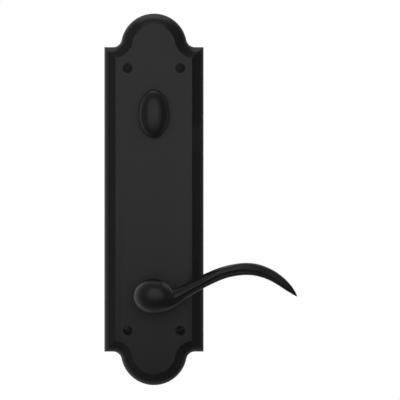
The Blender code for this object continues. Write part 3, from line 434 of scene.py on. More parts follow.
def grow(name, tree, sizes, base):
    """Run a tree on a base mesh with these sizes, and hand back the result as a plain mesh."""
    piece = new_piece(name, base)
    modifier = piece.modifiers.new("grow", "NODES")
    modifier.node_group = tree
    for item in tree.interface.items_tree:
        if item.in_out == "INPUT" and item.name in sizes:
            modifier[item.identifier] = sizes[item.name]
    mesh = frozen(piece)
    print(f"{name}: {len(mesh.polygons)} faces grown by {tree.name}")
    return mesh


def section_mesh(points):
    """Section points as a string of vertices: x is how far out or in, and z is the height."""
    mesh = bpy.data.meshes.new("section")
    edges = [(i, i + 1) for i in range(len(points) - 1)]
    mesh.from_pydata([(across, 0, height) for across, height in points], edges, [])
    return mesh


print("recipes can be written and run")

# %% Grids that become skins
ROUNDING = 0.000005


def skin_grid(start, rows, columns):
    """A grid of rows by columns, with wires for each vertex's row and column. The rounding keeps a row's
    first vertex out of the row before."""
    sockets = {"Vertices X": rows, "Vertices Y": columns}
    grid = start.make("GeometryNodeMeshGrid", None, sockets)
    index = start.make("GeometryNodeInputIndex")
    row = (index / columns + ROUNDING).whole()
    return grid, row, index - row * columns


def section_grid(start, columns):
    """A grid with a row for each of the section's points, and wires for each vertex's column, for how
    far out or in its row's point lies, and for how high."""
    measured = {"component": "MESH"}
    count = start.make("GeometryNodeAttributeDomainSize", measured, {"Geometry": start})
    grid, row, column = skin_grid(start, count, columns)
    place = start.make("GeometryNodeInputPosition")
    settings = {"data_type": "FLOAT_VECTOR", "domain": "POINT"}
    sockets = {"Geometry": start, "Value": place, "Index": row}
    found = start.make("GeometryNodeSampleIndex", settings, sockets)
    across = start.make("ShaderNodeSeparateXYZ", None, {0: found})
    return grid, column, across, across.other("Z")


def placed_skin(grid, position):
    sockets = {"Geometry": grid, "Position": position}
    skin = grid.make("GeometryNodeSetPosition", None, sockets)
    return skin.make("GeometryNodeMergeByDistance", None, {"Geometry": skin, "Distance": MERGE})


print("grids ready, doubles on a skin merge within", MERGE / MM, "mm")

# %% Give a finished piece its finish and its body


def dressed(name, mesh, slot, body, *nodes):
    """Make a finished piece that stands for these nodes, and let it ride on their body."""
    piece = new_piece(name, mesh, FINISHES[slot])
    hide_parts(*nodes)
    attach(piece, body)
    print(f"{name}: {len(mesh.polygons)} faces, stands for {', '.join(nodes)}")


# %% [markdown]
# ## Turned pieces
#
# Sleeves, necks, stems, screw heads and bosses are all turned: one section goes once round an axis. In
# Geometry Nodes that is a grid whose rows are the section's points and whose columns are angles. The tree
# reads each row's radius and height from the base shape, so one tree makes every turned piece.

# %% The turning tree


def turning_tree():
    start, size = new_recipe("turn_a_section", {"Sides": 64, "Wave": 0.0, "Waves": 3})
    grid, column, radius, height = section_grid(start, size["Sides"] + 1)
    angle = column * math.tau / size["Sides"]
    rise = size["Wave"] * (size["Waves"] * angle).cosine()
    place = start.point(radius * angle.cosine(), radius * angle.sine(), height + rise)
    return end_recipe(placed_skin(grid, place), "satin_black")


TURNING = turning_tree()


def turned(section, sides=64, wave=0.0):
    """A turned mesh from (radius, height) points. A section that ends where it starts makes a ring."""
    return tidy_mesh(grow("turned", TURNING, {"Sides": sides, "Wave": wave}, section_mesh(section)))


def arc(centre, radius, start, end, steps):
    """Points on an arc, from one angle to another, both in degrees."""
    points = []
    for i in range(steps + 1):
        angle = math.radians(start + (end - start) * i / steps)
        points.append((centre[0] + radius * math.cos(angle), centre[1] + radius * math.sin(angle)))
    return points


print("turning tree inputs:", [item.name for item in TURNING.interface.items_tree])

# %% [markdown]
# ## The moulded plate
#
# The plate is a zinc casting. Its border is a moulding: a steep round at the edge that flattens as it
# rises, a shallow hollow, and then a small step up to the flat field, with a crisp arris. Seen from the
# front, its ends are a dome between two coves, and the border keeps its width all the way round, with a
# mitre at each shoulder. Behind the moulding the wall keeps an even thickness, as a founder would ask for.
#
# A sweep along a curve would pinch at the mitres. But the outline follows a rule: moved in by any distance,
# it is still straight lines and arcs with the same centres. So the nodes place every vertex by that rule,
# from the section's own points, and the mitres come out exact.

# %% The border's section
BORDER_WIDTH = 8.6 * MM
BORDER_WALL = 3.0 * MM
EDGE_WALL = 1.8 * MM
ROUND_RADIUS = 8.0 * MM
CORNER_RADIUS = 0.12 * MM
ARRIS_RADIUS = 0.25 * MM
STEP_RUN = 0.3 * MM
EDGE_TILT, MIDDLE_TILT, HOLLOW_TILT, STEP_TILT = 80, 24, 30, 78
ROUND_STEPS, HOLLOW_STEPS, CORNER_STEPS, ARRIS_STEPS = 22, 14, 4, 6


def leg(start, end, radius, steps):
    """Steps of (run, rise) along an arc that leans out by start degrees first and by end degrees last."""
    first = math.radians(start)
    made = []
    for i in range(1, steps + 1):
        tilt = math.radians(start + (end - start) * i / steps)
        run = abs(math.sin(tilt) - math.sin(first)) * radius
        made.append((run, abs(math.cos(tilt) - math.cos(first)) * radius))
    return made


def border_section():
    """The moulding as (inset, height): a round, a hollow, a step and the field's arris."""
    sines = [math.sin(math.radians(tilt)) for tilt in (EDGE_TILT, MIDDLE_TILT, HOLLOW_TILT)]
    round_run = (sines[0] - sines[1]) * ROUND_RADIUS
    hollow_radius = (BORDER_WIDTH - STEP_RUN - round_run) / (sines[2] - sines[1])
    legs = [
        leg(EDGE_TILT, MIDDLE_TILT, ROUND_RADIUS, ROUND_STEPS),
        leg(MIDDLE_TILT, HOLLOW_TILT, hollow_radius, HOLLOW_STEPS),
        leg(HOLLOW_TILT, STEP_TILT, CORNER_RADIUS, CORNER_STEPS),
        [(STEP_RUN, STEP_RUN * math.tan(math.radians(STEP_TILT)))],
        leg(STEP_TILT, 0, ARRIS_RADIUS, ARRIS_STEPS),
    ]
    points = [(0.0, 0.0)]
    for steps in legs:
        run, rise = points[-1]
        points += [(run + across, rise + up) for across, up in steps]
    stretch = (PLATE_DEPTH - EDGE_WALL) / points[-1][1]
    return [(inset, EDGE_WALL + stretch * height) for inset, height in points]


BORDER = border_section()
print("border points:", len(BORDER), "and the last height:", round(BORDER[-1][1], 5))

# %% The wall and the rim behind the border
FIELD_WALL = 3.0 * MM
ROOF = PLATE_DEPTH - FIELD_WALL
ROOF_MARGIN = 1.0 * MM
ROOF_ROUND, WALL_ROUND = 0.2, 0.25
RIM_WIDTH = 2.8 * MM
LIP = 0.2 * MM
WALL_STATION = round(ROUND_STEPS * 0.4)


def in_the_wall(depth):
    """Inset and height of a point this deep in the border's wall, in from the middle of its round."""
    inset, height = BORDER[WALL_STATION]
    tilt = math.radians(EDGE_TILT + (MIDDLE_TILT - EDGE_TILT) * WALL_STATION / ROUND_STEPS)
    return inset + depth * math.sin(tilt), height - depth * math.cos(tilt)


def rounded(before, corner, after, share, steps=5):
    """A corner between two straight lines, rounded off from this share of each."""
    before, corner, after = Vector(before), Vector(corner), Vector(after)
    first, last = corner.lerp(before, share), corner.lerp(after, share)
    ts = [i / steps for i in range(steps + 1)]
    return [tuple(first.lerp(corner, t).lerp(corner.lerp(last, t), t)) for t in ts]


def plate_section():
    """The whole section, from the hollow's roof round the rim and over the border to the field."""
    roof = (BORDER_WIDTH + 3 * ROOF_MARGIN, ROOF)
    edge = (BORDER_WIDTH + ROOF_MARGIN, ROOF)
    wall = in_the_wall(BORDER_WALL)
    foot = (RIM_WIDTH, LIP)
    inside = [roof, *rounded(roof, edge, wall, ROOF_ROUND), *rounded(edge, wall, foot, WALL_ROUND)]
    return [*inside, foot, (RIM_WIDTH - LIP, 0), (LIP, 0), (0.0, LIP), *BORDER]


print("section points:", len(plate_section()))

# %% The domed outline
FLAT_STEPS, COVE_STEPS, DOME_STEPS = 3, 20, 56
QUARTER = FLAT_STEPS + COVE_STEPS + DOME_STEPS
STATIONS = 4 * QUARTER + 2
OUTLINE_SIZES = {
    "Plate Width": PLATE_WIDTH,
    "Shoulder Span": 234.1 * MM,
    "Dome Radius": 25.4 * MM,
    "Dome Lift": 0.4 * MM,
    "Cove Radius": 6.8 * MM,
}


def outline_point(station, inset, size):
    """Where the outline, moved in by inset, has its point for this station."""
    folded = station % (2 * QUARTER + 1)
    lower = (station / (2 * QUARTER + 1)).whole() % 2
    step = QUARTER - abs(folded - QUARTER)
    side = size["Plate Width"] / 2 - inset
    shoulder = size["Shoulder Span"] / 2
    dome_y = shoulder + size["Dome Lift"]
    cove_y = shoulder + size["Cove Radius"]
    reach = size["Dome Radius"] + size["Cove Radius"]
    drop = cove_y - dome_y
    cove_x = (reach * reach - drop * drop) ** 0.5
    meet = drop.maths("ARCTAN2", drop, cove_x)
    radius = size["Cove Radius"] + inset
    first = 1.5 * math.pi - ((cove_x - side).at_least(0) / radius).arcsine()
    left_of_flat = (1 - (step / FLAT_STEPS).share()) * (side - cove_x).at_least(0)
    cove_angle = first + (math.pi + meet - first) * ((step - FLAT_STEPS) / COVE_STEPS).share()
    dome_share = ((step - FLAT_STEPS - COVE_STEPS) / DOME_STEPS).share()
    dome_angle = meet + (math.pi / 2 - meet) * dome_share
    dome_radius = size["Dome Radius"] - inset
    on_dome = dome_share > 0
    cove_px = cove_x + radius * cove_angle.cosine() + left_of_flat
    cove_py = cove_y + radius * cove_angle.sine()
    x = cove_px + (dome_radius * dome_angle.cosine() - cove_px) * on_dome
    y = cove_py + (dome_y + dome_radius * dome_angle.sine() - cove_py) * on_dome
    turn = 1 - 2 * lower
    mirror = 1 - 2 * (folded > QUARTER + 0.5)
    return x * mirror * turn, y * turn


print("stations round the outline:", STATIONS)

# %% Sweep the section round the outline


def plate_tree():
    start, size = new_recipe("sweep_round_domed_outline", OUTLINE_SIZES)
    grid, station, inset, height = section_grid(start, STATIONS + 1)
    x, y = outline_point(station, inset, size)
    return end_recipe(placed_skin(grid, start.point(x, y, height)), "satin_black")


plate_skin = grow("moulded_plate", plate_tree(), OUTLINE_SIZES, section_mesh(plate_section()))
plate_mesh = tidy_mesh(plate_skin)
print("plate skin:", len(plate_mesh.polygons), "faces")

# %% [markdown]
# ## Bosses, ribs and bores behind the plate
#
# Behind the field the casting has what a foundry needs: bosses round the two bores and the four screws, two
# posts that carry the spring cassette, a middle pad that rests on the door, and two ribs that stiffen the
# long hollow. Cast bosses flare at the root, because a sharp inside corner would crack, so each is turned
# with a small fillet.

# %% Bosses and bores
SEAT_GAP, RUNNING_GAP = 0.3 * MM, 0.2 * MM
FILLET = 0.8 * MM
ROOT_DEPTH = 1.0 * MM
BEHIND, IN_FRONT = -FIELD_WALL, PLATE_DEPTH + FIELD_WALL


def boss(radius, back, sides=48):
    """A cast boss with a fillet at its root, from its back face up into the field."""
    root = arc((radius + FILLET, ROOF - FILLET), FILLET, 180, 90, 5)
    end = ROOF + ROOT_DEPTH
    return turned([(0, back), (radius, back), *root, (radius, end), (0, end)], sides)


def bore(radius, back, front, sides=64):
    return turned([(0, back), (radius, back), (radius, front), (0, front)], sides)


print("the field's roof lies", round(ROOF / MM, 2), "mm above the door")

# %% The countersunk holes of the plate's screws
HEAD_RADIUS = 3.4 * MM
SHANK_RADIUS = 1.8 * MM
COUNTERSINK = 2.2 * MM
screw_boxes = {name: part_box(name) for name in frame["nodes"] if name.startswith("plate_screw")}
screw_places = [((low.x + high.x) / 2, (low.z + high.z) / 2) for low, high in screw_boxes.values()]


def seat_for_screw():
    """The countersunk hole of one plate screw."""
    wide, narrow = HEAD_RADIUS + SEAT_GAP, SHANK_RADIUS + SEAT_GAP
    cone = [(wide, IN_FRONT), (wide, PLATE_DEPTH), (narrow, PLATE_DEPTH - COUNTERSINK)]
    return turned([(0, IN_FRONT), *cone, (narrow, BEHIND), (0, BEHIND)], 40)


print("screws at:", [(round(x, 4), round(z, 4)) for x, z in screw_places])

# %% The ribs
RIB = 2.0 * MM
RIB_SETBACK = 0.6 * MM
RIB_TOP = ROOF + ROOT_DEPTH
EAR_CIRCLE = 27.5 * MM
TURN_BOSS_BORE = 9.4 * MM
POST_CLEAR, BORE_CLEAR = 5.2 * MM, 1.3 * MM
SPINE_LOW = LEVER_Z + EAR_CIRCLE + POST_CLEAR
SPINE_HIGH = TURN_Z - TURN_BOSS_BORE - BORE_CLEAR


def slab(outline, back, front):
    """A flat plate with this outline, from its back to its front."""
    bm = bmesh.new()
    side = bm.faces.new([bm.verts.new((x, y, back)) for x, y in outline])
    made = bmesh.ops.extrude_face_region(bm, geom=[side])["geom"]
    corners = [item for item in made if isinstance(item, bmesh.types.BMVert)]
    bmesh.ops.translate(bm, verts=corners, vec=(0, 0, front - back))
    bmesh.ops.recalc_face_normals(bm, faces=bm.faces)
    return as_mesh(bm, "slab")


def cross_rib():
    """The rib across the plate's middle. Its ends run up inside the border's wall."""
    end = [(RIM_WIDTH, RIB_SETBACK), in_the_wall(BORDER_WALL / 2), (BORDER_WIDTH, RIB_TOP)]
    right = [(PLATE_WIDTH / 2 - inset, height) for inset, height in end]
    left = [(-x, height) for x, height in reversed(right)]
    rib = slab(right + left, -RIB / 2, RIB / 2)
    rib.transform(TO_WALL)
    return rib


spine = block((RIB, SPINE_HIGH - SPINE_LOW, RIB_TOP - RIB_SETBACK), RIB_SETBACK)
moved(spine, 0, (SPINE_HIGH + SPINE_LOW) / 2)
print("spine from", round(SPINE_LOW, 4), "to", round(SPINE_HIGH, 4))

# %% Add the bosses and ribs, and drill the bores
LEVER_BOSS, LEVER_BORE, LEVER_BOSS_BORE = 17.0 * MM, 11.2 * MM, 13.0 * MM
TURN_BOSS, TURN_BORE = 12.0 * MM, 7.2 * MM
TURN_BOSS_HEIGHT = 4.5 * MM
SCREW_BOSS = 5.2 * MM
PAD_RADIUS = 5.0 * MM
POST_RADIUS = 3.6 * MM
SHEET = 1.0 * MM
CASSETTE_SHANK = 1.5 * MM
CASSETTE_BITE = 6.5 * MM
base_front_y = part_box("cassette_base")[0].y
BOSS_BACK = -base_front_y + SEAT_GAP
CUP_FLANGE_BACK = -base_front_y - 2 * SHEET - SEAT_GAP
ear_levels = (LEVER_Z + EAR_CIRCLE, LEVER_Z - EAR_CIRCLE)
added = [
    moved(boss(LEVER_BOSS, BOSS_BACK, 72), 0, LEVER_Z),
    moved(boss(TURN_BOSS, ROOF - TURN_BOSS_HEIGHT, 56), 0, TURN_Z),
    spine,
    cross_rib(),
    boss(PAD_RADIUS, 0),
]
added += [moved(boss(SCREW_BOSS, 0, 40), x, z) for x, z in screw_places]
added += [moved(boss(POST_RADIUS, BOSS_BACK, 36), 0, z) for z in ear_levels]
drilled = [
    moved(bore(LEVER_BORE, BEHIND, IN_FRONT), 0, LEVER_Z),
    moved(bore(LEVER_BOSS_BORE, BEHIND, ROOF), 0, LEVER_Z),
    moved(bore(TURN_BORE, BEHIND, IN_FRONT), 0, TURN_Z),
    moved(bore(TURN_BOSS_BORE, BEHIND, ROOF), 0, TURN_Z),
]
drilled += [moved(seat_for_screw(), x, z) for x, z in screw_places]
pilot = (CASSETTE_SHANK + RUNNING_GAP, BEHIND, CUP_FLANGE_BACK + CASSETTE_BITE, 32)
drilled += [moved(bore(*pilot), 0, z) for z in ear_levels]
plate_mesh = on_wall(worked(plate_mesh, added, drilled))
dressed("moulded_plate", plate_mesh, "satin_black", "trim", "escutcheon_plate")

# %% [markdown]
# ## The wave lever
#
# The lever is one casting too: an egg shaped bulb over the spindle, and an arm that rises in a wave and
# falls to a blunt tip. Its front isn't round. A sharp bevel runs down from the top edge, then a face up to
# a ridge, and below the ridge a shallow flute ends at a soft lip. Those facets catch the light in bands.
# Only at the top is there a crisp notch between bulb and arm; elsewhere one flows into the other.
#
# A bulb joined to an arm by a Boolean would show a seam all round. So the whole lever is one loft. Each
# section is a rung between a point on the top outline and one on the bottom outline. In the bulb the rungs
# are upright and the sections are ellipses, and then they lean over with the arm and take on the facets.

# %% The lever's rungs
STANDOFF = 44.0 * MM
BULB = Vector((15.3, 13.6, 12.9)) * MM
BULB_FULLNESS = 0.43
REACH = 109.95 * MM
RISE = 20.8 * MM
HALF_HEIGHT = 4.8 * MM
HALF_DEPTH = 5.6 * MM
BOW = 3.0 * MM
# Across the root: top point, bottom point, half depth (all mm), how far it has the arm's facets
ROOT_RUNGS = (
    (5.0, 12.86, 5.0, -12.95, 12.20, 0.0),
    (7.0, 12.05, 7.4, -12.35, 11.55, 0.0),
    (9.0, 10.85, 9.8, -11.50, 10.65, 0.05),
    (10.8, 9.40, 12.2, -10.45, 9.70, 0.12),
    (12.4, 7.65, 14.6, -9.10, 8.80, 0.25),
    (13.83, 5.52, 17.0, -7.30, 8.05, 0.45),
    (15.6, 6.10, 19.8, -5.30, 7.45, 0.7),
    (17.7, 6.72, 22.6, -3.40, 7.10, 0.9),
)
# Along the arm: shares of reach and rise, lean, shares of half height and half depth
ARM_RUNGS = (
    (0.204, 0.135, 31, 1.10, 1.20),
    (0.250, 0.275, 29, 1.03, 1.12),
    (0.305, 0.433, 27, 1.00, 1.05),
    (0.360, 0.585, 25, 1.00, 1.00),
    (0.471, 0.838, 18, 0.97, 0.96),
    (0.560, 0.957, 9, 0.97, 0.94),
    (0.639, 1.000, 0, 0.98, 0.92),
    (0.720, 0.960, -12, 0.96, 0.88),
    (0.807, 0.799, -24, 0.88, 0.80),
    (0.880, 0.563, -33, 0.77, 0.66),
    (0.938, 0.310, -41, 0.58, 0.50),
    (0.975, 0.120, -48, 0.31, 0.32),
    (0.991, 0.030, -51, 0.14, 0.16),
    (0.998, -0.010, -52, 0.03, 0.04),
)
print("rungs across the root and along the arm:", len(ROOT_RUNGS), len(ARM_RUNGS))

# %% Work the rungs out
BULB_RUNGS = 26
BULB_END = 3.0 * MM


def arm_rung(row):
    """Top point, bottom point and half depth of one of the arm's rungs."""
    x, y, lean, high, deep = row
    centre = Vector((x * REACH, y * RISE))
    up = Matrix.Rotation(math.radians(lean), 2) @ Vector((0, high * HALF_HEIGHT))
    return (*(centre + up), *(centre - up), deep * HALF_DEPTH, 1.0)


def lever_rungs():
    """All rungs from the bulb's left pole to the tip: upright ones in the bulb, then the loft's own."""
    rungs = []
    last = math.acos(-BULB_END / BULB.x)
    for i in range(1, BULB_RUNGS):
        angle = last * i / (BULB_RUNGS - 1)
        x = -BULB.x * math.cos(angle)
        share = math.sin(angle)
        rungs.append((x, BULB.y * share, x, -BULB.y * share, BULB.z * share, 0.0))
    root = [tuple(value * MM for value in row[:5]) + (row[5],) for row in ROOT_RUNGS]
    return rungs, root + [arm_rung(row) for row in ARM_RUNGS]


def between(rows, i, t):
    """A row between rows i and i + 1, on a smooth curve through them and their neighbours."""
    before, here = rows[max(0, i - 1)], rows[i]
    there, after = rows[i + 1], rows[min(len(rows) - 1, i + 2)]
    mixed = []
    for a, b, c, d in zip(before, here, there, after):
        bend = t * t * (2 * a - 5 * b + 4 * c - d) + t * t * t * (3 * b - a - 3 * c + d)
        mixed.append(b + (t * (c - a) + bend) / 2)
    return tuple(mixed)


bulb_rungs, loft_rungs = lever_rungs()
print("rungs:", len(bulb_rungs), "in the bulb,", len(loft_rungs), "in the loft")

# %% The lever's facets
# Along the arm, by share of reach: place and height of the upper crease, roundness of the bevel above it,
# how far the top edge lies behind the middle, place and half width of the ridge, slope of the face at the
# ridge, slopes of the flute at its start and end, and the lip's place
FACETS = (
    (0.00, 0.96, 0.30, 0.60, 0.00, -0.10, 0.20, 0.15, 0.40, 0.10, -0.80),
    (0.125, 0.94, 0.42, 0.35, 0.10, -0.14, 0.18, 0.25, 0.60, 0.05, -0.78),
    (0.16, 0.84, 0.55, 0.20, 0.20, -0.16, 0.16, 0.36, 0.80, 0.00, -0.76),
    (0.25, 0.52, 0.74, 0.04, 0.35, -0.16, 0.15, 0.46, 0.80, -0.06, -0.74),
    (0.325, 0.42, 0.74, 0.02, 0.40, -0.19, 0.15, 0.56, 0.90, -0.08, -0.72),
    (0.44, 0.48, 0.84, 0.02, 0.40, -0.04, 0.12, 0.34, 0.80, -0.06, -0.60),
    (0.52, 0.60, 0.82, 0.25, 0.20, -0.02, 0.08, 0.26, 0.80, -0.06, -0.55),
    (0.60, 0.76, 0.84, 0.60, 0.00, -0.02, 0.08, 0.18, 0.80, -0.06, -0.52),
    (0.68, 0.62, 0.84, 0.90, 0.00, -0.08, 0.15, 0.16, 0.50, -0.02, -0.50),
    (0.76, 0.42, 0.90, 1.00, 0.00, 0.00, 0.20, 0.18, 0.40, 0.10, -0.52),
    (0.88, 0.38, 0.92, 1.00, 0.00, 0.02, 0.20, 0.18, 0.35, 0.25, -0.60),
    (1.01, 0.38, 0.92, 1.00, 0.00, 0.02, 0.20, 0.12, 0.30, 0.40, -0.70),
)


def facets_at(share):
    """The row of facets at this share of the reach, eased from each row to the next."""
    for first, second in zip(FACETS, FACETS[1:]):
        if share <= second[0]:
            t = max(0.0, (share - first[0]) / (second[0] - first[0]))
            t = t * t * (3 - 2 * t)
            return [a + (b - a) * t for a, b in zip(first[1:], second[1:])]
    return list(FACETS[-1][1:])


print("upper crease and its height near the root, halfway and at the tip:")
print([[round(value, 2) for value in facets_at(share)[:2]] for share in (0.1, 0.5, 1)])

# %% The front of a section
BEVEL_STEPS, FACE_STEPS, RIDGE_STEPS, FLUTE_STEPS, LIP_STEPS = 10, 6, 6, 8, 12
CREASE = 0.035
LIP_DROP, LIP_ROUND = 0.8, 0.7


def front_section(share, high, deep):
    """Points (across, out) from top to bottom over the faceted front, as shares of high and deep."""
    crease, crease_out, roundness, edge, ridge, width, rise, steep, easy, lip = facets_at(share)
    ratio = high / deep
    points = []
    for i in range(BEVEL_STEPS):
        angle = math.pi / 2 * i / BEVEL_STEPS
        straight = 1 - math.cos(angle)
        full = roundness * math.sin(angle) + (1 - roundness) * straight
        out = (crease_out + edge) * full - edge
        points.append((crease + CREASE + (1 - crease - CREASE) * math.cos(angle), out))
    span = crease - ridge
    bend = (1 - crease_out - rise * ratio * span) / span**2
    for i in range(FACE_STEPS + 1):
        away = width + (span - width - CREASE) * (1 - i / FACE_STEPS)
        points.append((ridge + away, 1 - rise * ratio * away - bend * away**2))
    start = points[-1][1]
    for i in range(1, RIDGE_STEPS):
        past = 2 * width * i / RIDGE_STEPS
        turn = (rise + steep) * ratio * past**2 / (4 * width)
        points.append((ridge + width - past, start + rise * ratio * past - turn))
    drop = ridge - lip - width
    hollow = (steep - easy) * ratio / (2 * drop)
    for i in range(FLUTE_STEPS + 1):
        away = drop * i / FLUTE_STEPS
        flute = steep * ratio * away - hollow * away**2
        points.append((ridge - width - away, start + (rise - steep) * ratio * width - flute))
    lip_out = points[-1][1]
    for i in range(1, LIP_STEPS + 1):
        angle = math.pi / 2 * i / LIP_STEPS
        across = lip - (1 + lip) * math.sin(angle) ** LIP_DROP
        points.append((across, lip_out * max(0.0, math.cos(angle)) ** LIP_ROUND))
    return points


print("points over the front:", len(front_section(0.5, HALF_HEIGHT, HALF_DEPTH)))

# %% The whole section
BACK_STEPS = 24
BOW_RUN = 1.25


def held(value):
    """The value, held between 0 and 1."""
    return min(1.0, max(0.0, value))


def lever_section(rung):
    """One closed section in face coordinates, measured from the lever's axis."""
    top = Vector(rung[0:2])
    bottom = Vector(rung[2:4])
    deep, faceted = rung[4], held(rung[5])
    centre = (top + bottom) / 2
    up = (top - bottom) / 2
    share = centre.x / REACH
    middle = STANDOFF + BOW * math.sin(math.pi * held(share * BOW_RUN))
    front = front_section(share, up.length, deep)
    edge = -front[0][1] * faceted
    points = []
    for across, out in front:
        egg = max(0.0, 1 - across * across) ** BULB_FULLNESS
        place = centre + up * across
        points.append((*place, middle + deep * (egg + (out - egg) * faceted)))
    for i in range(1, BACK_STEPS):
        angle = math.pi * i / BACK_STEPS
        place = centre - up * math.cos(angle)
        drop = math.sin(angle) + edge * max(0.0, -math.cos(angle)) ** 2
        points.append((*place, middle - deep * min(1.0, drop)))
    return points


print("points in a section:", len(lever_section(loft_rungs[-1])))

# %% Loft the lever
LOFT_STEPS = 5
TIP_DROP = 0.02


def loft(sections, first_pole, last_pole):
    """A closed skin over sections of equal length, with a point at each end."""
    bm = bmesh.new()
    rings = [[bm.verts.new(point) for point in section] for section in sections]
    count = len(rings[0])
    for this, following in zip(rings, rings[1:]):
        for i in range(count):
            bm.faces.new((this[i - 1], following[i - 1], following[i], this[i]))
    for ring, pole in ((rings[0], first_pole), (rings[-1], last_pole)):
        end = bm.verts.new(pole)
        for i in range(count):
            bm.faces.new((ring[i - 1], ring[i], end))
    return as_mesh(bm, "loft")


rows = list(bulb_rungs)
for i in range(len(loft_rungs) - 1):
    rows += [between(loft_rungs, i, k / LOFT_STEPS) for k in range(LOFT_STEPS)]
rows.append(loft_rungs[-1])
tip = (REACH, -TIP_DROP * RISE, STANDOFF)
lever_mesh = loft([lever_section(row) for row in rows], (-BULB.x, 0, STANDOFF), tip)
lever_mesh = tidy_mesh(lever_mesh, sharp=50)
print("lever skin:", len(rows), "sections,", len(lever_mesh.polygons), "faces")

# %% The neck and the shank
SHANK = 9.0 * MM
NECK_SHOULDER, NECK_WAIST, NECK_FLARE = 11.8 * MM, 9.0 * MM, 10.4 * MM
NECK_STEP = 1.6 * MM
NECK_STEPS = 20
WAIST_ROUND = 0.8
LEVER_FLANGE_THICKNESS = 1.0 * MM
NECK_BACK = PLATE_DEPTH + SEAT_GAP + LEVER_FLANGE_THICKNESS + SEAT_GAP
SHANK_TAIL = 0.9 * MM
GROOVE = 0.8 * MM
EASE = 0.25 * MM
ring_low, ring_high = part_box("lever_retaining_ring")
RING_BACK, RING_FRONT = -ring_high.y, -ring_low.y
SHANK_END = RING_BACK - SEAT_GAP - SHANK_TAIL


def shaft_points(neck, back, radius, ring_front, ring_back, end):
    """Points from a neck's back edge down a shaft, with a groove for its ring, to its end."""
    inner, top, bottom = radius - GROOVE, ring_front + SEAT_GAP, ring_back - SEAT_GAP
    points = [(neck, back + EASE), (neck - EASE, back), (radius, back)]
    points += [(radius, top), (inner, top), (inner, bottom), (radius, bottom)]
    return points + [(radius, end + EASE), (radius - EASE, end), (0, end)]


def neck_section():
    """The neck and shank as one turned section, from inside the bulb down to the shank's end."""
    inside, flare = STANDOFF - BULB.z / 2, STANDOFF - BULB.z
    shoulder = NECK_BACK + NECK_STEP
    points = [(0, inside), (NECK_FLARE, inside)]
    for i in range(NECK_STEPS + 1):
        share = i / NECK_STEPS
        ends = NECK_FLARE + (NECK_SHOULDER - NECK_FLARE) * share
        hollow = (ends - NECK_WAIST) * math.sin(math.pi * share) ** WAIST_ROUND
        points.append((ends - hollow, flare + (shoulder - flare) * share))
    return points + shaft_points(NECK_SHOULDER, NECK_BACK, SHANK, RING_FRONT, RING_BACK, SHANK_END)


print("neck and shank:", len(neck_section()), "points, down to", round(SHANK_END, 5))

# %% The spindle's socket and the set screw's hole
SPINDLE_SIDE = 8.0 * MM
SPINDLE_SEAT = 23.0 * MM
SET_SCREW = 2.5 * MM
SET_SCREW_HEIGHT = 20.0 * MM


def socket_block(across, along, back, front):
    """The room that a bar of this size takes up in a socket, between two heights."""
    return block((across + 2 * RUNNING_GAP, along + 2 * RUNNING_GAP, front - back), back)


def cross_bore(radius, start, end, height, sides=24):
    """A bore straight down, from one depth below the axis to another, at a height above the door."""
    mesh = bore(radius, start, end, sides)
    mesh.transform(Matrix.Translation((0, 0, height)) @ TO_WALL)
    return mesh


socket_front = NECK_BACK + SPINDLE_SEAT + SEAT_GAP
hollows = [
    socket_block(SPINDLE_SIDE, SPINDLE_SIDE, SHANK_END - FIELD_WALL, socket_front),
    cross_bore(SET_SCREW + RUNNING_GAP, 0, NECK_SHOULDER + BULB.y, SET_SCREW_HEIGHT),
]
lever_mesh = worked(lever_mesh, [turned(neck_section(), 96)], hollows, sharp=35)
on_wall(lever_mesh, LEVER_Z)
dressed("wave_lever", lever_mesh, "satin_black", "lever_assembly", "lever")

# %% [markdown]
# ## The oval turn knob
#
# The thumb turn is an egg a little fuller in front than behind, on a short neck. Its stem goes through the
# plate, is held by a clip in a groove, and carries the flat blade that turns the deadbolt. A turned ball
# with its width and height stretched makes the egg, and the stem is turned and joined to it.

# %% The knob's egg and its stem
KNOB_HALF = Vector((11.5, 18.5)) * MM
KNOB_RIM, KNOB_CROWN, KNOB_BACK = 21.5 * MM, 7.2 * MM, 5.2 * MM
KNOB_FULLNESS = 0.84
KNOB_STEPS = 30
KNOB_NECK = 6.6 * MM
STEM = 5.0 * MM
STEM_TAIL = 4.5 * MM
TURN_FLANGE_THICKNESS = 0.8 * MM
KNOB_NECK_BACK = PLATE_DEPTH + SEAT_GAP + TURN_FLANGE_THICKNESS + SEAT_GAP
clip_low, clip_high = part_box("turn_retaining_clip")
CLIP_BACK, CLIP_FRONT = -clip_high.y, -clip_low.y
STEM_END = CLIP_BACK - SEAT_GAP - STEM_TAIL


def knob_egg():
    """The egg, turned as a ball and stretched, so that its rim lies at the right height."""
    angles = [math.pi / 2 * i / KNOB_STEPS for i in range(KNOB_STEPS + 1)]
    crown = [(math.cos(angle), math.sin(angle)) for angle in angles]
    front = [(share, KNOB_RIM + KNOB_CROWN * out**KNOB_FULLNESS) for share, out in reversed(crown)]
    back = [(share, KNOB_RIM - KNOB_BACK * out) for share, out in crown[1:]]
    mesh = turned(front + back, 96)
    mesh.transform(Matrix.Diagonal((*KNOB_HALF, 1, 1)))
    return mesh


def stem_section():
    shaft = shaft_points(KNOB_NECK, KNOB_NECK_BACK, STEM, CLIP_FRONT, CLIP_BACK, STEM_END)
    return [(0, KNOB_RIM), (KNOB_NECK, KNOB_RIM), *shaft]


print("stem:", len(stem_section()), "points, down to", round(STEM_END, 5))

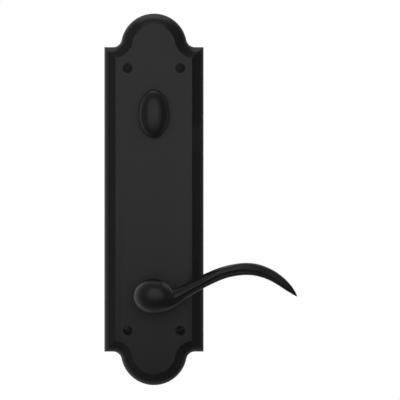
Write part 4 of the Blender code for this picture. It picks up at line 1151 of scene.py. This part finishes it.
# %% The blade's socket and the pin's bore
BLADE = Vector((6.0, 2.4)) * MM
BLADE_SEAT = 8.3 * MM
PIN = 0.9 * MM
pin_bore = cross_bore(PIN + RUNNING_GAP, -2 * STEM, 2 * STEM, STEM_END + STEM_TAIL / 2)
pin_bore.transform(Matrix.Rotation(math.pi / 2, 4, "Z"))
blade_socket = socket_block(BLADE.y, BLADE.x, STEM_END - FIELD_WALL, STEM_END + BLADE_SEAT)
knob_mesh = worked(knob_egg(), [turned(stem_section(), 64)], [blade_socket, pin_bore])
on_wall(knob_mesh, TURN_Z)
dressed("oval_turn_knob", knob_mesh, "satin_black", "turn_assembly", "turn_knob")

# %% [markdown]
# ## The four plate screws
#
# Each screw is an oval head wood screw with a cross recess, in black oxide. The head is turned, with an
# eased rim, and the recess is cut in it as a tapered cross whose inside corners are filled a little, as the
# tip of a driver needs. A thread is a rule, so Geometry Nodes wind it: the grid's rows follow one another
# down a helix, a row's place in its turn says how far it lies between crest and root, and the last turns
# run out to a point. Another tree then sets four copies out on a grid, at the plate's own spacing.

# %% The screw head
HEAD_CROWN, HEAD_EASE = 0.8 * MM, 0.5 * MM
RIM_FRONT, RIM_BACK, RIM_ROUND = 0.3 * MM, 0.05 * MM, 0.9


def head_section():
    """The head from the top of its crown, round its rim and down the cone under it."""
    crown = (HEAD_RADIUS**2 + HEAD_CROWN**2) / (2 * HEAD_CROWN)
    edge = math.degrees(math.asin((HEAD_RADIUS - HEAD_EASE) / crown))
    points = arc((0, PLATE_DEPTH + HEAD_CROWN - crown), crown, 90, 90 - edge, 10)
    rim, foot = (HEAD_RADIUS, PLATE_DEPTH + RIM_FRONT), (HEAD_RADIUS, PLATE_DEPTH - RIM_BACK)
    root = PLATE_DEPTH - COUNTERSINK
    points += rounded(points[-1], rim, foot, RIM_ROUND)[1:]
    return points + [(SHANK_RADIUS, root), (0, root)]


print("head section:", len(head_section()), "points")

# %% The cross recess
RECESS_SPAN, RECESS_WIDTH, RECESS_DEPTH = 3.8 * MM, 0.95 * MM, 1.4 * MM
FLOOR_SPAN, FLOOR_WIDTH = 0.42 * RECESS_SPAN, 0.8 * RECESS_WIDTH
RECESS_POINT, RECESS_FLARE = 0.02 * MM, 0.24 * MM
CROSS_FILL = 0.68


def cross_ring(span, width, height):
    """Twelve corners of a cross, with its inside corners filled a little."""
    inside = CROSS_FILL * width
    corners = []
    for quarter in range(4):
        turn = Matrix.Rotation(quarter * math.pi / 2, 2)
        for place in ((span / 2, -width / 2), (span / 2, width / 2), (inside, inside)):
            corners.append((*(turn @ Vector(place)), height))
    return corners


def recess_mesh(top):
    """The tapered cross that a driver goes into, opening out a little at the head's surface."""
    wider, floor = 6 * RECESS_FLARE, top - RECESS_DEPTH
    rings = [
        cross_ring(RECESS_SPAN + wider, RECESS_WIDTH + wider, top + 2.5 * RECESS_FLARE),
        cross_ring(RECESS_SPAN, RECESS_WIDTH, top - 0.5 * RECESS_FLARE),
        cross_ring(FLOOR_SPAN, FLOOR_WIDTH, floor),
    ]
    cross = loft(rings, (0, 0, top + 3 * RECESS_FLARE), (0, 0, floor - RECESS_POINT))
    return tidy_mesh(cross, sharp=20)


recess = recess_mesh(PLATE_DEPTH + HEAD_CROWN)
screw_head = worked(turned(head_section(), 48), cut=[recess], sharp=25)
print("screw head:", len(screw_head.polygons), "faces")

# %% Wind the thread
SCREW_LENGTH = 32.0 * MM
OVERLAP = 0.4 * MM
THREAD_ROWS = 6
ROOT_FLAT, FLANK, TAPER = 0.3, 0.6, 0.8
THREAD_SIZES = {
    "Crest": SHANK_RADIUS - 0.02 * MM,
    "Root": 1.25 * MM,
    "Top": PLATE_DEPTH - COUNTERSINK + OVERLAP,
    "Length": SCREW_LENGTH - COUNTERSINK + OVERLAP,
    "Plain": 9.0 * MM,
    "Point": 4.0 * MM,
    "Pitch": 1.8 * MM,
    "Sides": 24,
}


def thread_tree():
    start, size = new_recipe("wind_a_thread", THREAD_SIZES)
    turns = (size["Length"] / size["Pitch"]).whole() + 2
    grid, row, column = skin_grid(start, turns * THREAD_ROWS + 1, size["Sides"] + 1)
    along = (row / THREAD_ROWS + column / size["Sides"] - 1) * size["Pitch"]
    along = along.at_least(0).at_most(size["Length"])
    tooth = abs(2 * ((row / THREAD_ROWS) % 1) - 1)
    crest = tooth.rising(ROOT_FLAT, FLANK)
    started = along.rising(size["Plain"], size["Pitch"])
    left = ((size["Length"] - along) / size["Point"]).share() ** TAPER
    radius = (size["Crest"] - (size["Crest"] - size["Root"]) * started * (1 - crest)) * left
    angle = -column * math.tau / size["Sides"]
    place = start.point(radius * angle.cosine(), radius * angle.sine(), size["Top"] - along)
    return end_recipe(placed_skin(grid, place), "black_screws")


THREAD = thread_tree()


def wound(name, tree, sizes):
    """A mesh from a tree that sets its own points out and needs no base shape."""
    return tidy_mesh(grow(name, tree, sizes, section_mesh([(0, 0), (0, 1)])))


thread = wound("thread", THREAD, THREAD_SIZES)
one_screw = worked(screw_head, [thread], sharp=25)

# %% Set the four screws out


def setting_out_tree():
    sizes = {"Across": 0.01, "Along": 0.01, "Columns": 1, "Rows": 1}
    start, size = new_recipe("set_out_copies", sizes)
    spread = {"Size X": size["Across"], "Size Y": size["Along"]}
    spread.update({"Vertices X": size["Columns"], "Vertices Y": size["Rows"]})
    points = start.make("GeometryNodeMeshGrid", None, spread)
    stamped = {"Points": points, "Instance": start}
    return end_recipe(points.make("GeometryNodeInstanceOnPoints", None, stamped), "black_screws")


SETTING_OUT = setting_out_tree()


def set_out(name, mesh, across, along, columns, rows, axis_z=0.0):
    """Copies of a mesh on a grid of this size, stood up on the door."""
    sizes = {"Across": across, "Along": along, "Columns": columns, "Rows": rows}
    return on_wall(tidy_mesh(grow(name, SETTING_OUT, sizes, mesh), sharp=25), axis_z)


columns = sorted({round(x, 6) for x, _ in screw_places})
levels = sorted({round(z, 6) for _, z in screw_places})
spacing = (columns[-1] - columns[0], levels[-1] - levels[0])
screws_mesh = set_out("four_screws", one_screw, *spacing, 2, 2)
dressed("plate_screws", screws_mesh, "black_screws", "trim", *sorted(screw_boxes))

# %% [markdown]
# ## Sleeves and washers
#
# The lever's shank and the knob's stem turn in flanged bronze sleeves, whose thin flanges show as rings
# between the plate and the necks. Behind the field a washer keeps each retaining ring off the casting. The
# turn knob's washer is waved, so that it presses the knob lightly forward and stops it rattling. All four
# are turned, with eased edges, and the wave is the turning tree's own Wave input: a cosine round the ring.

# %% Turn the sleeves
SLEEVE_WALL = 1.8 * MM
FLANGE_EASE = 0.2 * MM
LEVER_INSIDE, TURN_INSIDE = SHANK + RUNNING_GAP, STEM + RUNNING_GAP
SLEEVES = {
    "lever": (LEVER_INSIDE, 12.8 * MM, LEVER_FLANGE_THICKNESS, LEVER_Z),
    "turn": (TURN_INSIDE, 8.6 * MM, TURN_FLANGE_THICKNESS, TURN_Z),
}


def sleeve(inside, flange_radius, flange):
    """A flanged sleeve: its flange lies on the plate's front, its barrel goes through the field."""
    outer, ease = inside + SLEEVE_WALL, FLANGE_EASE
    back, front = PLATE_DEPTH + SEAT_GAP, PLATE_DEPTH + SEAT_GAP + flange
    points = [(inside, ROOF + ease), (inside, front - ease), (inside + ease, front)]
    points += [(flange_radius - ease, front), (flange_radius, front - ease), (flange_radius, back)]
    points += [(outer, back), (outer, ROOF + ease), (outer - ease, ROOF), (inside + ease, ROOF)]
    return turned([*points, points[0]], 72)


for owner, (inside, flange_radius, flange, axis_z) in SLEEVES.items():
    sleeve_mesh = on_wall(sleeve(inside, flange_radius, flange), axis_z)
    dressed(f"{owner}_sleeve", sleeve_mesh, "oiled_bronze", "trim", f"{owner}_bushing")

# %% Turn the washers
WASHER = 0.5 * MM
WASHER_EASE = 0.1 * MM
RADIAL_CLEARANCE = 1.2 * MM
WAVE_HEIGHT = 0.2 * MM


def washer(inner, boss_bore, wave):
    """A ring with eased edges inside its boss, just behind the field. Its wave goes out and in."""
    outer, ease = boss_bore - RADIAL_CLEARANCE, WASHER_EASE
    front = ROOF - SEAT_GAP - wave
    back = front - WASHER
    points = [(outer - ease, back), (outer, back + ease), (outer, front - ease), (outer - ease, front)]
    points += [(inner + ease, front), (inner, front - ease), (inner, back + ease), (inner + ease, back)]
    return turned([*points, points[0]], 72, wave)


flat_washer = on_wall(washer(LEVER_INSIDE, LEVER_BOSS_BORE, 0.0), LEVER_Z)
dressed("flat_washer", flat_washer, "spring_steel", "trim", "lever_washer")
wave_washer = on_wall(washer(TURN_INSIDE, TURN_BOSS_BORE, WAVE_HEIGHT), TURN_Z)
dressed("wave_washer", wave_washer, "spring_steel", "trim", "turn_wave_washer")

# %% [markdown]
# ## The return spring
#
# The spring is 2 mm wire: three turns round the hub's barrel, with a leg at each end that stands straight
# up beside the fixed lug and the hub's tang. It could be modelled as a bevelled curve with every point
# typed in. But it follows a rule: while one value runs from 0 to 1, the wire comes down a leg, goes round
# the coil and climbs the other leg. So the nodes place the points of a line by that rule, blur the two
# corners into bends that a wire could take, and run a round section along the line.

# %% The spring's sizes
TANG_WIDTH = 6.0 * MM
WIRE = 2.0 * MM
COIL_GAP = 0.3 * MM
HUB_DISC = 1.5 * MM
SPRING_SIZES = {
    "Coil Radius": 10.0 * MM,
    "Turns": 3,
    "Leg Offset": TANG_WIDTH / 2 + SEAT_GAP + WIRE / 2,
    "Leg Tip": 20.2 * MM,
    "Front": CUP_FLANGE_BACK + SHEET - HUB_DISC - SEAT_GAP - WIRE / 2,
    "Pitch": WIRE + COIL_GAP,
    "Wire": WIRE,
    "Wire Sides": 14,
    "Points": 420,
    "Bend Steps": 8,
}
print("length of the coil, mm:", round(SPRING_SIZES["Turns"] * SPRING_SIZES["Pitch"] / MM, 2))

# %% Wind the spring
LEG_SHARE = 0.05
BEND_SHARE = 1 / 90


def near(run, corner):
    """How near the run is to a corner: 1 on it, and 0 from BEND_SHARE away."""
    return (1 - abs(run - corner) / BEND_SHARE).share()


def spring_tree():
    start, size = new_recipe("wind_a_spring", SPRING_SIZES)
    line = start.make("GeometryNodeMeshLine", None, {"Count": size["Points"]})
    run = start.make("GeometryNodeInputIndex") / (size["Points"] - 1)
    coiled = run.rising(LEG_SHARE, 1 - 2 * LEG_SHARE)
    on_leg = (1 - run / LEG_SHARE).share() + (1 - (1 - run) / LEG_SHARE).share()
    lean = (size["Leg Offset"] / size["Coil Radius"]).arcsine()
    angle = math.pi / 2 - lean - (size["Turns"] * math.tau - 2 * lean) * coiled
    x = size["Coil Radius"] * angle.cosine()
    coil_y = size["Coil Radius"] * angle.sine()
    y = coil_y + (size["Leg Tip"] - size["Coil Radius"] * lean.cosine()) * on_leg
    z = size["Front"] - size["Turns"] * size["Pitch"] * coiled
    sockets = {"Geometry": line, "Position": start.point(x, y, z)}
    placed = line.make("GeometryNodeSetPosition", None, sockets)
    blur = {"Value": start.make("GeometryNodeInputPosition"), "Iterations": size["Bend Steps"]}
    blur["Weight"] = near(run, LEG_SHARE) + near(run, 1 - LEG_SHARE)
    eased = start.make("GeometryNodeBlurAttribute", {"data_type": "FLOAT_VECTOR"}, blur)
    bent = placed.make("GeometryNodeSetPosition", None, {"Geometry": placed, "Position": eased})
    wire = bent.make("GeometryNodeMeshToCurve", None, {"Mesh": bent})
    radius = {"Resolution": size["Wire Sides"], "Radius": size["Wire"] / 2}
    section = start.make("GeometryNodeCurvePrimitiveCircle", {"mode": "RADIUS"}, radius)
    sockets = {"Curve": wire, "Profile Curve": section, "Fill Caps": True}
    return end_recipe(wire.make("GeometryNodeCurveToMesh", None, sockets), "spring_steel")


spring_mesh = on_wall(wound("spring", spring_tree(), SPRING_SIZES), LEVER_Z)
dressed("coiled_spring", spring_mesh, "spring_steel", "trim", "return_spring")

# %% [markdown]
# ## The cassette's two screws
#
# Two pan head screws with a straight slot hold the cassette against its posts, one above the lever's axis
# and one below. One is turned and threaded with the same trees as the plate screws, with its own sizes, and
# two copies are set out.

# %% Make the cassette screws
PAN_HEIGHT, PAN_RADIUS, PAN_EDGE = 1.2 * MM, 2.8 * MM, 0.72 * MM
SLOT_WIDTH = 0.8 * MM
CASSETTE_THREAD = {
    **THREAD_SIZES,
    "Crest": CASSETTE_SHANK,
    "Root": 1.15 * MM,
    "Top": 0.0,
    "Length": CASSETTE_BITE + SEAT_GAP,
    "Plain": 1.5 * MM,
    "Point": 0.8 * MM,
    "Pitch": 0.8 * MM,
}


def pan_head():
    """A pan head, back to front: a flat crown with a round edge, and its flat seat."""
    seat = CUP_FLANGE_BACK - SEAT_GAP
    back = seat - PAN_HEIGHT
    rim = arc((PAN_RADIUS - PAN_EDGE, back + PAN_EDGE), PAN_EDGE, -90, 0, 6)
    head = turned([(0, back), *rim, (PAN_RADIUS, seat), (0, seat)], 40)
    slot = block((3 * PAN_RADIUS, SLOT_WIDTH, PAN_HEIGHT), back - PAN_HEIGHT / 2)
    return worked(head, cut=[slot], sharp=25)


shaft = wound("cassette_thread", THREAD, CASSETTE_THREAD)
lift = Matrix.Translation((0, 0, CUP_FLANGE_BACK - 2 * SEAT_GAP))
shaft.transform(lift @ Matrix.Rotation(math.pi, 4, "X"))
cassette_screw = worked(pan_head(), [shaft], sharp=25)
cassette_mesh = set_out("two_screws", cassette_screw, 0.0, 2 * EAR_CIRCLE, 1, 2, LEVER_Z)
ears = ("cassette_screw_upper", "cassette_screw_lower")
dressed("cassette_screws", cassette_mesh, "plated_steel", "trim", *ears)

# %% [markdown]
# ## Finishes for the works behind the plate
#
# The parts of the engineering model whose shape is already right stay, and only get their real finish. Each
# of them names its finish in the record, so a dictionary from slot to material is all that is needed.

# %% Give every remaining part its finish
for row in frame["record"]["subparts"]:
    node, finish = frame["nodes"][row["node"]], FINISHES[row["material_slot"]]
    for finish_slot in node.material_slots:
        finish_slot.material = finish
    if not node.material_slots:
        node.data.materials.append(finish)

# %% [markdown]
# ## The floor, the light and the camera
#
# The photograph is a catalogue shot: a long lens, straight on, against pure white. A black thing has almost
# no light of its own, so its shape is drawn by what it mirrors. A wide soft box hangs in front, with a
# second one over it, and they lay an even grey on the field. A bar close over the top of the plate lights
# the dome, and another over the arm draws its top edge. The pale surroundings behind the trim draw a thin
# light line round each piece. The world is white for what the camera sees, and for the lamps' side of the
# room it is dim, so that the rounds fall off to black.

# %% The world
# How bright each part of the room is, where 1 is white, for what the trim mirrors
FRONT, FRONT_RISE = 0.11, 0.06
BACKDROP, BACKDROP_RISE, BACKDROP_LEAN = 0.45, 0.2, -0.15
LEFT_HALF, LEFT_SIDE, RIGHT_SIDE = 0.16, 0.44, 0.12
ABOVE, BELOW, OVERHEAD = 0.5, 0.33, 0.14
AROUND = 0.7
# Where each part of the room begins, from -1 to 1 along its axis, and over how much it comes in
BACKDROP_IN, SIDES_IN, ABOVE_IN = (0.7, 0.25), (-0.25, 0.5), (0.1, 0.4)
BELOW_IN, OVERHEAD_IN = (-0.05, 0.3), (0.7, 0.3)


def studio_world():
    """White for the camera, a dim room with pale sides for what mirrors it, an even grey for the rest."""
    world = bpy.data.worlds.new("studio")
    bpy.context.scene.world = world
    world.use_nodes = True
    world.node_tree.nodes.clear()
    start = Wire(world.node_tree)
    seen = start.make("ShaderNodeLightPath", output="Is Camera Ray")
    mirrored = seen.other("Is Glossy Ray")
    direction = start.make("ShaderNodeTexCoord", output="Generated")
    right = start.make("ShaderNodeSeparateXYZ", None, {0: direction}, output="X")
    behind, up = right.other("Y"), right.other("Z")
    left, down = (-right).share(), (-up).share()
    backdrop = behind.rising(*BACKDROP_IN) * (BACKDROP + BACKDROP_RISE * up + BACKDROP_LEAN * right)
    sides = behind.rising(*SIDES_IN) * (left * LEFT_SIDE + right.share() * RIGHT_SIDE)
    above = behind.rising(*ABOVE_IN) * up.share() * ABOVE
    below = behind.rising(*BELOW_IN) * down * BELOW
    overhead = up.rising(*OVERHEAD_IN) * OVERHEAD
    room = FRONT + FRONT_RISE * up + left * LEFT_HALF + above + below + overhead + sides
    glossy = room + (1 - room) * backdrop
    strength = AROUND + (glossy - AROUND) * mirrored
    white = seen.at_least(seen.other("Is Transmission Ray"))
    strength = strength + (1 - strength) * white
    light = start.make("ShaderNodeBackground", None, {"Color": (1, 1, 1, 1), "Strength": strength})
    start.make("ShaderNodeOutputWorld", None, {"Surface": light})
    return world


print("world nodes:", len(studio_world().node_tree.nodes))

# %% The lamps
# Each lamp's place, what it aims at, its width, its height and its brightness, where 1 looks white
LAMPS = {
    "front_box": ((-0.01, -0.5, 0.075), (-0.01, 0, 0.075), 0.46, 0.55, 0.45),
    "upper_box": ((-0.01, -0.49, 0.155), (-0.01, 0, 0.155), 0.46, 0.39, 0.32),
    "top_bar": ((0, -0.022, 0.215), (0, -0.016, 0.12), 0.11, 0.07, 0.9),
    "arm_bar": ((0.116, -0.04, 0.06), (0.116, -0.04, -0.06), 0.065, 0.09, 0.5),
}


def soft_box(name, place, aim, width, height, brightness):
    """A soft rectangular lamp that the camera doesn't see."""
    lamp = bpy.data.lights.new(name, "AREA")
    lamp.shape = "RECTANGLE"
    lamp.size = width
    lamp.size_y = height
    lamp.energy = brightness * math.pi * width * height
    holder = bpy.data.objects.new(name, lamp)
    holder.location = place
    holder.rotation_euler = (Vector(aim) - Vector(place)).to_track_quat("-Z", "Y").to_euler()
    holder.visible_camera = False
    bpy.context.scene.collection.objects.link(holder)


for name, settings in LAMPS.items():
    soft_box(name, *settings)

# %% The camera
VIEW_WIDTH = 307.6 * MM
VIEW_CENTRE = (35.4 * MM, -0.5 * MM)
CAMERA_DISTANCE = 12.0
camera = bpy.data.cameras.new("camera")
camera.lens = camera.sensor_width * CAMERA_DISTANCE / VIEW_WIDTH
camera.clip_end = 3 * CAMERA_DISTANCE
camera_stand = bpy.data.objects.new("camera", camera)
camera_stand.location = (VIEW_CENTRE[0], -CAMERA_DISTANCE, VIEW_CENTRE[1])
camera_stand.rotation_euler = (math.pi / 2, 0, 0)
bpy.context.scene.collection.objects.link(camera_stand)
bpy.context.scene.camera = camera_stand
bpy.context.scene.view_settings.view_transform = "Standard"
print("camera lens:", round(camera.lens), "mm")

# %% The floor
FLOOR_DROP = 600 * MM
FLOOR_RADIUS = 450 * MM
FLOOR_GREY, FLOOR_ALPHA = 0.8, 0.35


def make_floor():
    """A pale round floor below the view, which fades out at its edge."""
    bm = bmesh.new()
    bmesh.ops.create_circle(bm, cap_ends=True, segments=96, radius=FLOOR_RADIUS)
    material, shader, start = new_material("pale_floor", 0.9)
    shader.inputs["Base Color"].default_value = (FLOOR_GREY, FLOOR_GREY, FLOOR_GREY, 1)
    place = start.make("ShaderNodeTexCoord", output="Object")
    away = start.make("ShaderNodeVectorMath", {"operation": "LENGTH"}, {0: place}, output="Value")
    inside = ((FLOOR_RADIUS - away) / (FLOOR_RADIUS / 2)).share()
    feed(shader, "Alpha", FLOOR_ALPHA * inside)
    floor = new_piece("floor", as_mesh(bm, "floor"), material)
    floor.location = (0, 0, cad_box[0].z - FLOOR_DROP)
    return floor


print("floor at z:", round(make_floor().location.z, 3))
